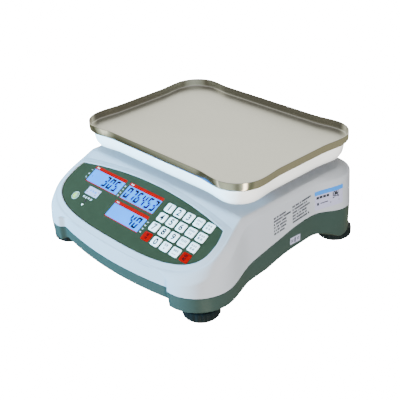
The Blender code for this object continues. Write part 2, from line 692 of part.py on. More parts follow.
# ---------------------------------------------------------------- housing
def upper_housing(mat):
    body = upper_shell()
    plinth = loft([
        flat(panel_outline(BEZEL_WIDTH), -OVERLAY_THICK - GAP - CONSOLE_FLOOR),
        flat(panel_outline(BEZEL_WIDTH), -BEZEL_EDGE),
        flat(panel_outline(BEZEL_LIP), BEZEL_PROUD),
    ])
    body = combine(body, plinth, "UNION", PANEL)
    for x, y in PILLARS.values():
        top = deck_height(y) - WALL / 2
        pillar = prism(circle(PILLAR_RADIUS, 12, (x, y)), FLOOR_Z + WALL + GAP, top)
        body = combine(body, pillar, "UNION")
    pocket = prism(panel_outline(GAP), -OVERLAY_THICK - GAP, OVERRUN)
    body = combine(body, pocket, "DIFFERENCE", PANEL)
    body = combine(body, joined(console_cutters()), "DIFFERENCE", PANEL)
    holes = [prism(circle(POST_RADIUS + POST_ROOM, 16, post), ARM_TOP, DECK_Z + OVERRUN)
             for post in POSTS.values()]
    holes += [prism(circle(SCREW_RADIUS + GAP, 10, place), FLOOR_Z,
                    FLOOR_Z + SCREW_LENGTH + SCREW_ROOM) for place in PILLARS.values()]
    body = combine(body, joined(holes), "DIFFERENCE")
    add_object("upper_housing", body, mat)


def console_cutters():
    """Key, display, vial and lamp openings through the console's floor, in panel space."""
    low, high = -2 * OVERRUN, OVERRUN / 2
    cutters = [prism(key_outline(*place, SLIDE_GAP), low, high) for place in key_places()]
    cutters += [prism(lcd_outline(place, GAP), low, high) for place in lcd_places().values()]
    cutters.append(prism(circle(VIAL_RADIUS + GAP, 20, vial_place()), low, high))
    cutters += [prism(circle(LED_RADIUS + GAP, 10, place), low, high) for place in led_places()]
    return cutters


def lower_housing(mat):
    body = lower_shell()
    for x, y in FEET.values():
        boss = prism(circle(STUD_RADIUS + BOSS_WALL, 20, (x, y)),
                     edge_height(y) + WALL / 2, BOSS_TOP)
        body = combine(body, boss, "UNION")
    holes = [prism(circle(STUD_RADIUS + SLIDE_GAP, 16, foot), 0.0, BOSS_TOP + OVERRUN)
             for foot in FEET.values()]
    holes += [prism(circle(SCREW_RADIUS + GAP, 10, place), FLOOR_Z - OVERRUN, FLOOR_Z + OVERRUN)
              for place in PILLARS.values()]
    cover_width, cover_length = COVER_SIZE
    holes.append(block((cover_width + 2 * GAP, cover_length + 2 * GAP, 2 * OVERRUN),
                       (*battery_place(), FLOOR_Z)))
    switch_x, switch_y = switch_place()
    holes.append(block((SWITCH_SIZE[0] + 2 * GAP, SWITCH_SIZE[1] + 2 * GAP, 2 * OVERRUN),
                       (switch_x, switch_y, FLOOR_Z)))
    holes.append(inlet_prism(GAP, REAR_Y - INLET_DEPTH, REAR_Y + OVERRUN))
    body = combine(body, joined(holes), "DIFFERENCE")
    add_object("lower_housing", body, mat)


# ---------------------------------------------------------------- tray and platter
def tray_half_side(along, length, corner, waist):
    """How far a straight side draws in at a place along it, beside a round corner."""
    return waist * smooth((length / 2 - corner - abs(along)) / TRAY_WAIST_RUN)


def tray_outline(inset, corner_steps=6, side_steps=8):
    """Tray's plan, waisted between its corners, anticlockwise from the front right."""
    width, length, corner = TRAY_WIDTH, TRAY_LENGTH, TRAY_CORNER
    points = []
    for number, (side_x_, side_y) in enumerate(((1, -1), (1, 1), (-1, 1), (-1, -1))):
        centre_x = side_x_ * (width / 2 - corner)
        centre_y = side_y * (length / 2 - corner)
        start = math.radians(90 * number - 90)
        for i in range(corner_steps + 1):
            angle = start + math.pi / 2 * i / corner_steps
            points.append((centre_x + corner * math.cos(angle),
                           centre_y + corner * math.sin(angle)))
        run = (length if number % 2 == 0 else width) - 2 * corner
        heading = start + math.pi / 2
        for i in range(1, side_steps):
            travel = run * i / side_steps
            points.append((centre_x + corner * math.cos(heading) - travel * math.sin(heading),
                           centre_y + corner * math.sin(heading) + travel * math.cos(heading)))
    drawn = []
    for x, y in points:
        pull_x = tray_half_side(y, length, corner, TRAY_WAIST_SIDE)
        pull_y = tray_half_side(x, width, corner, TRAY_WAIST_FRONT)
        drawn.append((x * (1 - pull_x / (width / 2)), y * (1 - pull_y / (length / 2))))
    return [(x, y + TRAY_Y) for x, y in inward(drawn, inset)]


def weighing_tray(mat):
    top = TRAY_Z + TRAY_RIM
    fold, sheet = TRAY_FOLD, TRAY_SHEET
    outer = fold * FOLD_SHARE
    inner = sheet + (fold - sheet) * FOLD_SHARE
    stations = [(fold, TRAY_Z), (outer, TRAY_Z + outer), (0.0, TRAY_Z + fold),
                (0.0, top), (sheet, top), (sheet, TRAY_Z + fold),
                (inner, TRAY_Z + inner), (fold, TRAY_Z + sheet)]
    loops = [flat(tray_outline(inset), z) for inset, z in stations]
    add_object("weighing_tray", loft(loops), mat, origin=(0, TRAY_Y, TRAY_Z))


def platter(mat):
    top = PLATTER_Z + PLATTER_HEIGHT
    inset, wall = PLATTER_INSET, PLATTER_WALL
    low = inset + PLATTER_TAPER
    turn, foot = PLATTER_TOP_ROUND, PLATTER_LOW_ROUND
    middle = turn * FOLD_SHARE
    stations = [(inset + turn, top), (inset + middle, top - middle), (inset, top - turn),
                (inset + PLATTER_LEAN, PLATTER_Z + PLATTER_WAIST),
                (low - foot, PLATTER_Z + foot), (low, PLATTER_Z), (low + wall, PLATTER_Z),
                (inset + PLATTER_LEAN + wall, PLATTER_Z + PLATTER_WAIST + GAP),
                (inset + PLATTER_LEAN + wall, PLATTER_ROOF)]
    loops = [flat(tray_outline(inset), z) for inset, z in stations]
    add_object("platter", loft(loops), mat, origin=(0, TRAY_Y, PLATTER_Z))


# ---------------------------------------------------------------- console pieces
def key_places():
    left = KEY_BLOCK_LEFT + KEY_WIDTH / 2
    return [(left + column * KEY_PITCH_X, -row * KEY_PITCH_Y)
            for row in range(KEY_ROWS) for column in range(KEY_COLUMNS)]


def key_outline(x, up, grow):
    return rounded_rectangle(KEY_WIDTH + 2 * grow, KEY_HEIGHT + 2 * grow,
                             KEY_CORNER + grow, (x, up), 2)


def lcd_places():
    first = LCD_LEFT + LCD_WIDTH / 2
    second = first + LCD_WIDTH + LCD_GAP_X
    return {"lcd_weight": (first, -LCD_ROW_1), "lcd_unit_weight": (second, -LCD_ROW_1),
            "lcd_quantity": (second, -LCD_ROW_2)}


def lcd_outline(place, grow):
    return rounded_rectangle(LCD_WIDTH + 2 * grow, LCD_HEIGHT + 2 * grow,
                             LCD_CORNER, place, 1)


def vial_place():
    return (-PANEL_HALF + VIAL_FROM_SIDE, -VIAL_DOWN)


def led_places():
    return [(-PANEL_HALF + LED_FROM_SIDE, -down) for down in LED_DOWN]


def keypad_overlay(mat):
    sheet = prism(panel_outline(0.0), -OVERLAY_THICK, 0.0)
    sheet = combine(sheet, joined(console_cutters()), "DIFFERENCE")
    add_object("keypad_overlay", sheet, mat, PANEL)


def keys(white, red):
    names = [name for row in KEY_NAMES for name in row]
    for name, (x, up) in zip(names, key_places()):
        low = KEY_PROUD - KEY_LENGTH
        outline = key_outline(0.0, 0.0, 0.0)
        crown = key_outline(0.0, 0.0, -KEY_EDGE)
        cap = loft([flat(outline, low), flat(outline, KEY_PROUD - KEY_EDGE),
                    flat(crown, KEY_PROUD)])
        place = PANEL @ Matrix.Translation((x, up, 0))
        add_object(name, cap, red if name in RED_KEYS else white, place)


def displays(glass, board_mat):
    for name, place in lcd_places().items():
        body = prism(lcd_outline(place, 0.0), -LCD_RECESS - LCD_THICK, -LCD_RECESS)
        add_object(name, body, glass, PANEL)
    left = LCD_LEFT - BOARD_MARGIN
    right = KEY_BLOCK_LEFT + KEY_BLOCK_WIDTH + BOARD_MARGIN
    low = -(KEY_ROWS - 0.5) * KEY_PITCH_Y
    high = KEY_PITCH_Y / 2
    size = (right - left, high - low, BOARD_THICK)
    centre = ((left + right) / 2, (low + high) / 2, -BOARD_DROP - BOARD_THICK / 2)
    add_object("display_board", block(size, centre), board_mat, PANEL)


def level_and_lamps(vial_mat, lamp_mat):
    vial = prism(circle(VIAL_RADIUS, 20, vial_place()), -WINDOW_DEPTH, -WINDOW_RECESS)
    add_object("level_vial", vial, vial_mat, PANEL)
    for name, place in zip(("charge_lamp", "power_lamp"), led_places()):
        lamp = prism(circle(LED_RADIUS, 10, place), -WINDOW_DEPTH, 0.0)
        add_object(name, lamp, lamp_mat, PANEL)


# ---------------------------------------------------------------- feet
def toothed_circle(radius, depth, centre):
    steps = 2 * FOOT_TEETH
    turn = 2 * math.pi / steps
    return [(centre[0] + (radius - depth * (i % 2)) * math.cos(turn * i),
             centre[1] + (radius - depth * (i % 2)) * math.sin(turn * i)) for i in range(steps)]


def feet(rubber, steel):
    for name, (x, y) in FEET.items():
        socket = STUD_RADIUS + SLIDE_GAP
        bore = circle(socket, 2 * FOOT_TEETH, (x, y))
        pad = loft([
            flat(toothed_circle(FOOT_RADIUS - FOOT_TAPER, 0.0, (x, y)), 0.0),
            flat(toothed_circle(FOOT_RADIUS, FOOT_TOOTH, (x, y)), FOOT_TAPER),
            flat(toothed_circle(FOOT_RADIUS, FOOT_TOOTH, (x, y)), FOOT_HEIGHT),
            flat(bore, FOOT_HEIGHT),
            flat(bore, STUD_SOCKET - GAP),
        ])
        add_object(f"foot_pad_{name}", pad, rubber, origin=(x, y, 0))
        stud = loft([
            flat(circle(STUD_RADIUS - STUD_LEAD, 16, (x, y)), STUD_SOCKET),
            flat(circle(STUD_RADIUS, 16, (x, y)), STUD_SOCKET + STUD_LEAD),
            flat(circle(STUD_RADIUS, 16, (x, y)), STUD_TOP - STUD_TIP),
            flat(circle(STUD_RADIUS - STUD_TIP, 16, (x, y)), STUD_TOP),
        ])
        add_object(f"foot_stud_{name}", stud, steel, origin=(x, y, 0))


# ---------------------------------------------------------------- weighing works
def load_cell(mat):
    """Bar with two joined bores through it, the thin parts of which bend under load."""
    bar = block((CELL_LENGTH, CELL_WIDTH, CELL_HEIGHT), (0, TRAY_Y, CELL_Z + CELL_HEIGHT / 2))
    turn = Matrix.Translation((0, TRAY_Y, CELL_Z + CELL_HEIGHT / 2))
    turn = turn @ Matrix.Rotation(math.pi / 2, 4, "X")
    bores = [prism(circle(CELL_BORE, 16, (side * CELL_BORE_PITCH, 0)), -CELL_WIDTH, CELL_WIDTH)
             for side in (-1, 1)]
    bar = combine(bar, joined(bores), "DIFFERENCE", turn)
    neck = block((2 * CELL_BORE_PITCH, 2 * CELL_WIDTH, CELL_NECK),
                 (0, TRAY_Y, CELL_Z + CELL_HEIGHT / 2))
    bar = combine(bar, neck, "DIFFERENCE")
    add_object("load_cell", bar, mat)
    end = -CELL_LENGTH / 2 + SPACER_LENGTH / 2
    spacer_z = FLOOR_Z + WALL + GAP + SPACER_HEIGHT / 2
    spacer = block((SPACER_LENGTH, CELL_WIDTH, SPACER_HEIGHT), (end, TRAY_Y, spacer_z))
    add_object("load_cell_spacer", spacer, mat)


def spider(mat):
    """Cast cross that stands on the cell's free end and carries the platter on four posts."""
    low = ARM_TOP - SPIDER_THICK
    reach = math.hypot(POST_X, POST_Y) + POST_RADIUS
    body = None
    for sign in (1, -1):
        bar = block((2 * reach, SPIDER_ARM, SPIDER_THICK), (0, 0, low + SPIDER_THICK / 2))
        turn = Matrix.Translation((0, TRAY_Y, 0))
        turn = turn @ Matrix.Rotation(sign * math.atan2(POST_Y, POST_X), 4, "Z")
        if body is None:
            bmesh.ops.transform(bar, matrix=turn, verts=bar.verts)
            body = bar
        else:
            body = combine(body, bar, "UNION", turn)
    foot_low = CELL_Z + CELL_HEIGHT + FLEX_ROOM
    foot_x = CELL_LENGTH / 2 - SPACER_LENGTH / 2
    near, far = -SPIDER_ARM, CELL_LENGTH / 2 + STOP_FROM_CELL + STOP_RADIUS
    bridge = block((far - near, BRIDGE_WIDTH, SPIDER_THICK),
                   ((near + far) / 2, TRAY_Y, BRIDGE_LOW + SPIDER_THICK / 2))
    body = combine(body, bridge, "UNION")
    foot_top = low - POST_ROOT
    hub = block((SPACER_LENGTH, HUB_WIDTH, foot_top - foot_low),
                (foot_x, TRAY_Y, (foot_top + foot_low) / 2))
    body = combine(body, hub, "UNION")
    for post in POSTS.values():
        rod = prism(circle(POST_RADIUS, 14, post), low + POST_ROOT,
                    PLATTER_ROOF - CUSHION_THICK - 2 * GAP)
        body = combine(body, rod, "UNION")
    add_object("platform_spider", body, mat)


def cushions(mat):
    for name, post in POSTS.items():
        top = PLATTER_ROOF - GAP
        disc = prism(circle(CUSHION_RADIUS, 16, post), top - CUSHION_THICK, top)
        add_object(f"cushion_{name}", disc, mat)


def overload_stop(mat):
    """Post on the floor under the spider's bridge, which a heavy overload comes down on."""
    low = FLOOR_Z + WALL + GAP
    centre = (CELL_LENGTH / 2 + STOP_FROM_CELL, TRAY_Y)
    top = BRIDGE_LOW - STOP_ROOM
    foot = circle(STOP_FOOT_RADIUS, 12, centre)
    neck = circle(STOP_RADIUS, 12, centre)
    step = low + STOP_FOOT_HEIGHT
    stop = loft([flat(foot, low), flat(foot, step), flat(neck, step + STOP_FOOT_CONE),
                 flat(neck, top)])
    add_object("overload_stop", stop, mat)


# ---------------------------------------------------------------- electrics
def battery_place():
    inner = HALF_WIDTH - SIDE_WAIST - WALL - WALL_DRAFT - EDGE_ROUND - BATTERY_GAP
    return (-inner + BATTERY[0] / 2, TRAY_Y - BATTERY_FROM_TRAY)


def switch_place():
    return (HALF_WIDTH - SWITCH_FROM_SIDE, TRAY_Y - SWITCH_FROM_TRAY)


def battery(case, cover_mat):
    x, y = battery_place()
    z = FLOOR_Z + WALL + GAP + BATTERY[2] / 2
    add_object("battery", block(BATTERY, (x, y, z)), case)
    cover = block((*COVER_SIZE, WALL), (x, y, FLOOR_Z + WALL / 2))
    add_object("battery_cover", cover, cover_mat)


def transformer(mat):
    width, length, height = TRANSFORMER
    coil_width, coil_height = TRANSFORMER_COIL
    x = HALF_WIDTH - SIDE_WAIST - WALL - TRANSFORMER_MARGIN - width / 2
    z = FLOOR_Z + WALL + GAP + height / 2
    y = TRAY_Y + TRANSFORMER_FROM_TRAY
    core = block((width, TRANSFORMER_CORE, height), (x, y, z))
    coil = block((coil_width, length, coil_height), (x, y, z))
    add_object("transformer", combine(core, coil, "UNION"), mat)


def main_board(mat):
    y = FRONT_Y + MAIN_BOARD_FROM_FRONT
    board = block((*MAIN_BOARD, BOARD_THICK), (0, y, MAIN_BOARD_Z))
    add_object("main_board", board, mat)


def inlet_prism(grow, near, far, shrink=0.0):
    """Outline of the mains inlet along Y, between two distances."""
    outline = rounded_rectangle(INLET_WIDTH + 2 * (grow - shrink),
                                INLET_HEIGHT + 2 * (grow - shrink),
                                INLET_CORNER - shrink / 2, (INLET_X, 0.0))
    loops = [[(x, y, INLET_Z + up) for x, up in outline] for y in (near, far)]
    return loft(loops)


def power_inlet(mat):
    face = REAR_Y - INLET_RECESS
    body = inlet_prism(0.0, face - INLET_DEPTH, face)
    cavity = inlet_prism(0.0, face - INLET_CAVITY, face + OVERRUN, INLET_WALL)
    body = combine(body, cavity, "DIFFERENCE")
    near, far = face - INLET_CAVITY - PIN_ROOT, face - PIN_BELOW_FACE
    for side in (-1, 1):
        pin = block((PIN_SIZE, far - near, PIN_SIZE),
                    (INLET_X + side * PIN_SPACING / 2, (near + far) / 2, INLET_Z))
        body = combine(body, pin, "UNION")
    add_object("power_inlet", body, mat)


def power_switch(frame_mat, rocker_mat):
    """Rocker switch pushed up through the floor; its rocker turns about a pin along Y."""
    x, y = switch_place()
    width, depth, height = SWITCH_SIZE
    low = FLOOR_Z - GAP - SWITCH_FLANGE
    top = low + SWITCH_LIFT + height
    frame = block((width, depth, height), (x, y, top - height / 2))
    flange = block((width + 2 * SWITCH_FLANGE_REACH, depth + 2 * SWITCH_FLANGE_REACH,
                    SWITCH_FLANGE), (x, y, low + SWITCH_FLANGE / 2))
    frame = combine(frame, flange, "UNION")
    well_x, well_y = width - 2 * SWITCH_WALL, depth - 2 * SWITCH_WALL
    well_low, well_top = low - OVERRUN, top - SWITCH_ROOF
    well = block((well_x, well_y, well_top - well_low), (x, y, (well_low + well_top) / 2))
    frame = combine(frame, well, "DIFFERENCE")
    add_object("power_switch_frame", frame, frame_mat)
    arc = [(ROCKER_RADIUS * math.cos(math.radians(a)), ROCKER_RADIUS * math.sin(math.radians(a)))
           for a in range(0, 181, 20)]
    section = arc + list(ROCKER_FACE)
    pin_z = low + ROCKER_PIN_UP
    loops = [[(x + sx, y + side * (well_y / 2 - ROCKER_SIDE_GAP), pin_z + sz)
              for sx, sz in section] for side in (-1, 1)]
    add_object("power_switch_rocker", loft(loops), rocker_mat, origin=(x, y, pin_z))


def housing_screws(mat):
    for name, (x, y) in PILLARS.items():
        low = FLOOR_Z - GAP
        screw = loft([
            flat(circle(SCREW_HEAD - SCREW_HEAD_EDGE, 12, (x, y)), low - SCREW_HEAD_HEIGHT),
            flat(circle(SCREW_HEAD, 12, (x, y)), low - SCREW_HEAD_HEIGHT + SCREW_HEAD_EDGE),
            flat(circle(SCREW_HEAD, 12, (x, y)), low),
            flat(circle(SCREW_RADIUS, 12, (x, y)), low),
            flat(circle(SCREW_RADIUS, 12, (x, y)), low + SCREW_LENGTH),
        ])
        add_object(f"housing_screw_{name}", screw, mat)


# ---------------------------------------------------------------- build
def build():
    clear_scene()
    white = material("white_moulding", (0.74, 0.77, 0.83), 0.35)
    green = material("green_moulding", (0.070, 0.165, 0.150), 0.40)
    key_white = material("key_white", (0.82, 0.85, 0.86), 0.40)
    key_red = material("key_red", (0.62, 0.01, 0.012), 0.40)
    steel = material("brushed_steel", (0.56, 0.55, 0.51), 0.32, 1.0)
    fastener = material("zinc_steel", (0.55, 0.55, 0.56), 0.35, 1.0)
    rubber = material("black_rubber", (0.012, 0.013, 0.014), 0.60)
    cast = material("cast_aluminium", (0.50, 0.51, 0.52), 0.50, 1.0)
    board = material("circuit_board", (0.02, 0.12, 0.05), 0.45)
    weighing_tray(steel)
    platter(white)
    upper_housing(white)
    lower_housing(green)
    keypad_overlay(material("overlay_green", (0.072, 0.165, 0.130), 0.45))
    keys(key_white, key_red)
    displays(material("lcd_blue", (0.30, 0.68, 0.98), 0.15), board)
    level_and_lamps(material("vial_green", (0.35, 0.55, 0.20), 0.10),
                    material("lamp_clear", (0.80, 0.82, 0.80), 0.20))
    feet(rubber, fastener)
    load_cell(material("load_cell_aluminium", (0.62, 0.63, 0.64), 0.40, 1.0))
    spider(cast)
    cushions(rubber)
    overload_stop(fastener)
    battery(material("battery_case", (0.03, 0.03, 0.035), 0.50), green)
    transformer(material("transformer_core", (0.22, 0.16, 0.10), 0.60))
    main_board(board)
    power_inlet(material("inlet_black", (0.015, 0.015, 0.017), 0.45))
    power_switch(material("switch_black", (0.016, 0.016, 0.018), 0.42),
                 material("rocker_black", (0.020, 0.020, 0.022), 0.35))
    housing_screws(fastener)


build()
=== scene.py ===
"""Looks of the counting scale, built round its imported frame. Metres, +Z up, front towards -Y."""

import math

import bmesh
import bpy
import numpy as np
from mathutils import Matrix, Vector

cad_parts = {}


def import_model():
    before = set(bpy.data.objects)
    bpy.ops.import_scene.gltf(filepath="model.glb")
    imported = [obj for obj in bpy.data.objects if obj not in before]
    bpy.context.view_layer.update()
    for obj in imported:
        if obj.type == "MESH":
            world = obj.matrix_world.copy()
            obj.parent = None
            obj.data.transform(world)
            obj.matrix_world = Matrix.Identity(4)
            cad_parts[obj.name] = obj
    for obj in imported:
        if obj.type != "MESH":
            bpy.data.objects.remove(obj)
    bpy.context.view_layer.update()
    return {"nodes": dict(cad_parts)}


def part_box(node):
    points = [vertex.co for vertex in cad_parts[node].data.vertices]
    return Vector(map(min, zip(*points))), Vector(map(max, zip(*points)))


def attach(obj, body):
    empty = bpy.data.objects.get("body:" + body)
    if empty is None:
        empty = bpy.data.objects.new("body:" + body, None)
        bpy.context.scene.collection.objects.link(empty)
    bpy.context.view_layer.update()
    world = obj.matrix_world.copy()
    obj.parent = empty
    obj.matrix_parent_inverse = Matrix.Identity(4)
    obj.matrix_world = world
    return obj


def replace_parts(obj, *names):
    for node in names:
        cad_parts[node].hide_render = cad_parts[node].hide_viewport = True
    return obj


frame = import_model()

# ---------------------------------------------------------------- sizes shared with the frame
HALF_WIDTH, FRONT_Y, REAR_Y = 0.1565, -0.149, 0.149
GAP = 0.0003
TRAY_SIZE, TRAY_CORNER = (0.300, 0.2136), 0.037
TRAY_WAIST, TRAY_WAIST_RUN = (0.0030, 0.0038), 0.034
TRAY_Y, TRAY_Z, TRAY_RIM = 0.0390, 0.1368, 0.0113
SHEET, TRAY_FOLD, TRAY_WALL_FROM = 0.0010, 0.0030, 0.0020
PLATTER_Z, PLATTER_HEIGHT, PLATTER_INSET = 0.1157, 0.0208, 0.0051
PLATTER_LEAN, PLATTER_WALL, PLATTER_ROUND, PLATTER_BEND = 0.006, 0.003, 0.003, 0.009
DECK_Z, WALL, DRAFT = 0.1045, 0.0025, 0.0012
FRONT_SAG, REAR_SAG = 0.0095, 0.0030
FRONT_LOBE, FRONT_LOBE_REACH, REAR_LOBE = 0.0470, 0.0040, 0.0400
STEP_RUN, STEP_FROM_LOBE, SIDE_WAIST = 0.0085, 0.0015, 0.0095
FRONT_WAIST_RUN, REAR_WAIST_RUN = 0.0520, 0.0500
SHOULDER_INSET, SHOULDER_POWER, RIDGE_DROP = 0.0175, 1.7, 0.0525
CREASE = (((0.004, 0.0565), (0.010, 0.0540), (0.029, 0.0460), (0.037, 0.0415), (0.054, 0.0370),
           (0.066, 0.0275), (0.0755, 0.0205), (0.088, 0.0130), (0.108, 0.0075), (0.135, 0.0065)),
          ((0.030, 0.0065), (0.0, 0.0065)))
PARTING = (((0.052, 0.0345), (0.070, 0.0372), (0.098, 0.0440), (0.142, 0.0530), (0.185, 0.0605)),
           ((0.085, 0.0610), (0.045, 0.0545), (0.030, 0.0530)))
EDGE = (((0.055, 0.0135), (0.075, 0.0150), (0.100, 0.0195), (0.140, 0.0255), (0.168, 0.0283),
         (0.188, 0.0295)), ((0.075, 0.0280), (0.052, 0.0175), (0.045, 0.0135)))
FRONT_ARCH, EDGE_ROUND, FLOOR_Z, FLOOR_MARGIN = 0.0035, 0.0020, 0.0305, 0.0105
SHELF, SHELF_RAMP = 0.0238, 0.0060
FOOT_RADIUS, FOOT_HEIGHT, FOOT_TEETH, FOOT_TOOTH = 0.0225, 0.0125, 20, 0.0009
BOSS_RADIUS, BOSS_TOP, STUD_HOLE, STUD_SEAT = 0.0090, 0.0375, 0.0053, 0.0032
SCREW_HOLE, POST_HOLE = 0.0018, 0.0080
TILT, PANEL_DROP = math.radians(29.5), 0.0125
PANEL_ORIGIN = Vector((0, FRONT_Y + 0.0681, DECK_Z - PANEL_DROP))
PANEL = Matrix.Translation(PANEL_ORIGIN) @ Matrix.Rotation(TILT, 4, "X")
PANEL_HALF, PANEL_MIDDLE, PANEL_LOWER, PANEL_PEAK = 0.1373, 0.0185, 0.0485, 0.0185
PANEL_CORNER, PANEL_POWER = (0.0052, 0.0037), 2.85
BEZEL, LIP, PROUD, LAND_DROP = 0.0072, 0.0018, 0.0011, 0.0008
FOLD_Y = PANEL_ORIGIN.y + (PANEL_DROP + LAND_DROP) / math.tan(TILT)
KEY_WIDTH, KEY_HEIGHT, PITCH_X, PITCH_Y, KEY_CORNER = 0.0133, 0.0117, 0.0169, 0.0147, 0.0018
KEY_MARGIN, KEY_TOP = 0.01775, 0.0006
KEY_X = PANEL_HALF - KEY_MARGIN - KEY_WIDTH / 2 - 4 * PITCH_X
KEY_NAMES = (("key_1", "key_2", "key_3", "key_weight_limit", "key_count_limit"),
             ("key_4", "key_5", "key_6", "key_unit_weight", "key_sample_count"),
             ("key_7", "key_8", "key_9", "key_tare", "key_total"),
             ("key_clear", "key_0", "key_decimal", "key_zero", "key_recall"))
LCD_X, LCD_TO_KEYS, LCD_PITCH_GAP = -PANEL_HALF + 0.0310, 0.0108, 0.0083
LCD_WIDTH = (KEY_X - KEY_WIDTH / 2 - LCD_TO_KEYS - LCD_X - LCD_PITCH_GAP) / 2
LCD_HEIGHT, LCD_CORNER, BAND_HEIGHT = 0.0192, 0.0005, 0.0042
LCD_SECOND = LCD_X + LCD_WIDTH * 1.5 + LCD_PITCH_GAP
LCDS = {"lcd_weight": (LCD_X + LCD_WIDTH / 2, -0.0064),
        "lcd_unit_weight": (LCD_SECOND, -0.0064),
        "lcd_quantity": (LCD_SECOND, -0.0354)}
VIAL = (-PANEL_HALF + 0.0356, -0.0414)
VIAL_RADIUS, VIAL_DEPTH = 0.0060, -0.0022
LEDS = ((-PANEL_HALF + 0.0575, -0.0425), (-PANEL_HALF + 0.0575, -0.0479))
LED_RADIUS = 0.0016
FEET = {"front_left": (-0.129, -0.114), "front_right": (0.129, -0.114),
        "rear_left": (-0.129, 0.124), "rear_right": (0.129, 0.124)}
PILLARS = [(sx * 0.0965, y) for sx in (-1, 1) for y in (-0.045, 0.0865)]
POSTS = [(sx * 0.070, TRAY_Y + sy * 0.045) for sx in (-1, 1) for sy in (-1, 1)]

# extra roundness of the visual model, and the thin layers on it
CREASE_ROUND, FOLD_ROUND, SEAM = 0.0024, 0.0040, 0.0003
INK_HALF, SEGMENT_FACE, SEGMENT_HALF = 0.00004, -0.00038, 0.00003
DIGIT_HEIGHT, DIGIT_WEIGHT, DIGIT_RELIEF = 0.0086, 0.030, 0.0010
SEGMENT_DIGIT, SEGMENT_PITCH, SEGMENT_THICK, SEGMENT_SLANT = (0.0077, 0.0162), 0.0100, 0.0026, 0.13


# ---------------------------------------------------------------- node materials
class Shade:
    """Small builder of node materials; textures sit in object space, so they move with a piece."""

    def __init__(self, name, roughness=0.4, metallic=0.0, **inputs):
        self.mat = bpy.data.materials.new(name)
        self.mat.use_nodes = True
        self.tree = self.mat.node_tree
        self.shader = self.tree.nodes["Principled BSDF"]
        self.set(self.shader, "Roughness", roughness)
        self.set(self.shader, "Metallic", metallic)
        for key, value in inputs.items():
            self.set(self.shader, key.replace("_", " "), value)
        self.coords = self.tree.nodes.new("ShaderNodeTexCoord").outputs["Object"]
        self.height = None

    def set(self, node, key, value):
        socket = node.inputs[key]
        if isinstance(value, bpy.types.NodeSocket):
            self.tree.links.new(value, socket)
        elif isinstance(value, tuple) and len(value) == 3 and socket.type == "RGBA":
            socket.default_value = (*value, 1.0)
        else:
            socket.default_value = value

    def node(self, kind, output, **inputs):
        made = self.tree.nodes.new("ShaderNode" + kind)
        for key, value in inputs.items():
            if hasattr(made, key):
                setattr(made, key, value)
            else:
                self.set(made, key.replace("_", " "), value)
        return made.outputs[output]

    def stretched(self, scale, turn=(0.0, 0.0, 0.0)):
        return self.node("Mapping", "Vector", Vector=self.coords, Scale=scale, Rotation=turn)

    def noise(self, scale, detail=3.0, stretch=None):
        vector = self.coords if stretch is None else self.stretched(stretch)
        return self.node("TexNoise", "Fac", Vector=vector, Scale=scale, Detail=detail)

    def cells(self, scale):
        return self.node("TexVoronoi", "Distance", Vector=self.coords, Scale=scale)

    def span(self, value, low, high, start=0.3, end=0.7):
        return self.node("MapRange", "Result", Value=value, From_Min=start, From_Max=end,
                         To_Min=low, To_Max=high)

    def mix(self, factor, first, second):
        made = self.tree.nodes.new("ShaderNodeMix")
        made.data_type = "RGBA"
        self.set(made, 0, factor)
        self.set(made, 6, first)
        self.set(made, 7, second)
        return made.outputs[2]

    def color(self, value):
        self.set(self.shader, "Base Color", value)
        return self

    def vary(self, color, amount, scale, detail=3.0, stretch=None):
        """Base colour that drifts a little darker and lighter."""
        dark = tuple(c * (1 - amount) for c in color)
        light = tuple(min(c * (1 + amount), 1.0) for c in color)
        field = self.span(self.noise(scale, detail, stretch), 0.0, 1.0)
        return self.color(self.mix(field, dark, light))

    def rough(self, low, high, scale, detail=3.0, stretch=None):
        field = self.noise(scale, detail, stretch)
        self.set(self.shader, "Roughness", self.span(field, low, high))
        return self

    def bump(self, field, strength, distance):
        below = {} if self.height is None else {"Normal": self.height}
        self.height = self.node("Bump", "Normal", Strength=strength, Distance=distance,
                                Height=field, **below)
        self.set(self.shader, "Normal", self.height)
        return self


def moulded(name, color, rough, grain=0.5, gloss=0.5, drift=0.02):
    """Moulded plastic: fine spark-eroded grain, faint flow marks and handling dullness."""
    made = Shade(name, rough, IOR=1.49, Specular_IOR_Level=gloss)
    made.vary(color, drift, 22.0, 4.0)
    made.rough(rough - 0.05, rough + 0.07, 60.0, 5.0)
    made.bump(made.cells(2600.0), 0.10 * grain, 0.00008)
    made.bump(made.noise(420.0, 5.0), 0.08 * grain, 0.00012)
    return made.mat


def metal(name, color, rough, stretch=None, grain=900.0, depth=0.00002, drift=0.05):
    """Metal with a lay of fine scratches along its unstretched axis."""
    made = Shade(name, rough, 1.0)
    made.vary(color, drift, 30.0, 4.0)
    made.rough(rough - 0.06, rough + 0.08, grain / 3, 4.0, stretch)
    made.bump(made.noise(grain, 3.0, stretch), 0.12, depth)
    return made.mat


def printed(name, color, rough=0.42):
    """Screen-printed ink: slight mottling and an orange-peel surface."""
    made = Shade(name, rough, Specular_IOR_Level=0.05)
    made.vary(color, 0.05, 500.0, 4.0)
    made.rough(rough - 0.05, rough + 0.08, 900.0)
    made.bump(made.noise(3000.0, 2.0), 0.06, 0.00003)
    return made.mat


def tray_steel(name, rough, wobble):
    """Brushed stainless sheet, its lay along the tray's length."""
    made = Shade(name, rough, 1.0)
    made.vary((0.60, 0.59, 0.54), 0.030, 240.0, 5.0, (1.0, 26.0, 26.0))
    made.rough(rough - 0.03, rough + 0.06, 180.0, 5.0, (1.0, 22.0, 22.0))
    made.bump(made.noise(520.0, 4.0, (1.0, 30.0, 30.0)), 0.08, 0.00002)
    made.bump(made.noise(36.0, 2.0), wobble, 0.0004)
    return made.mat


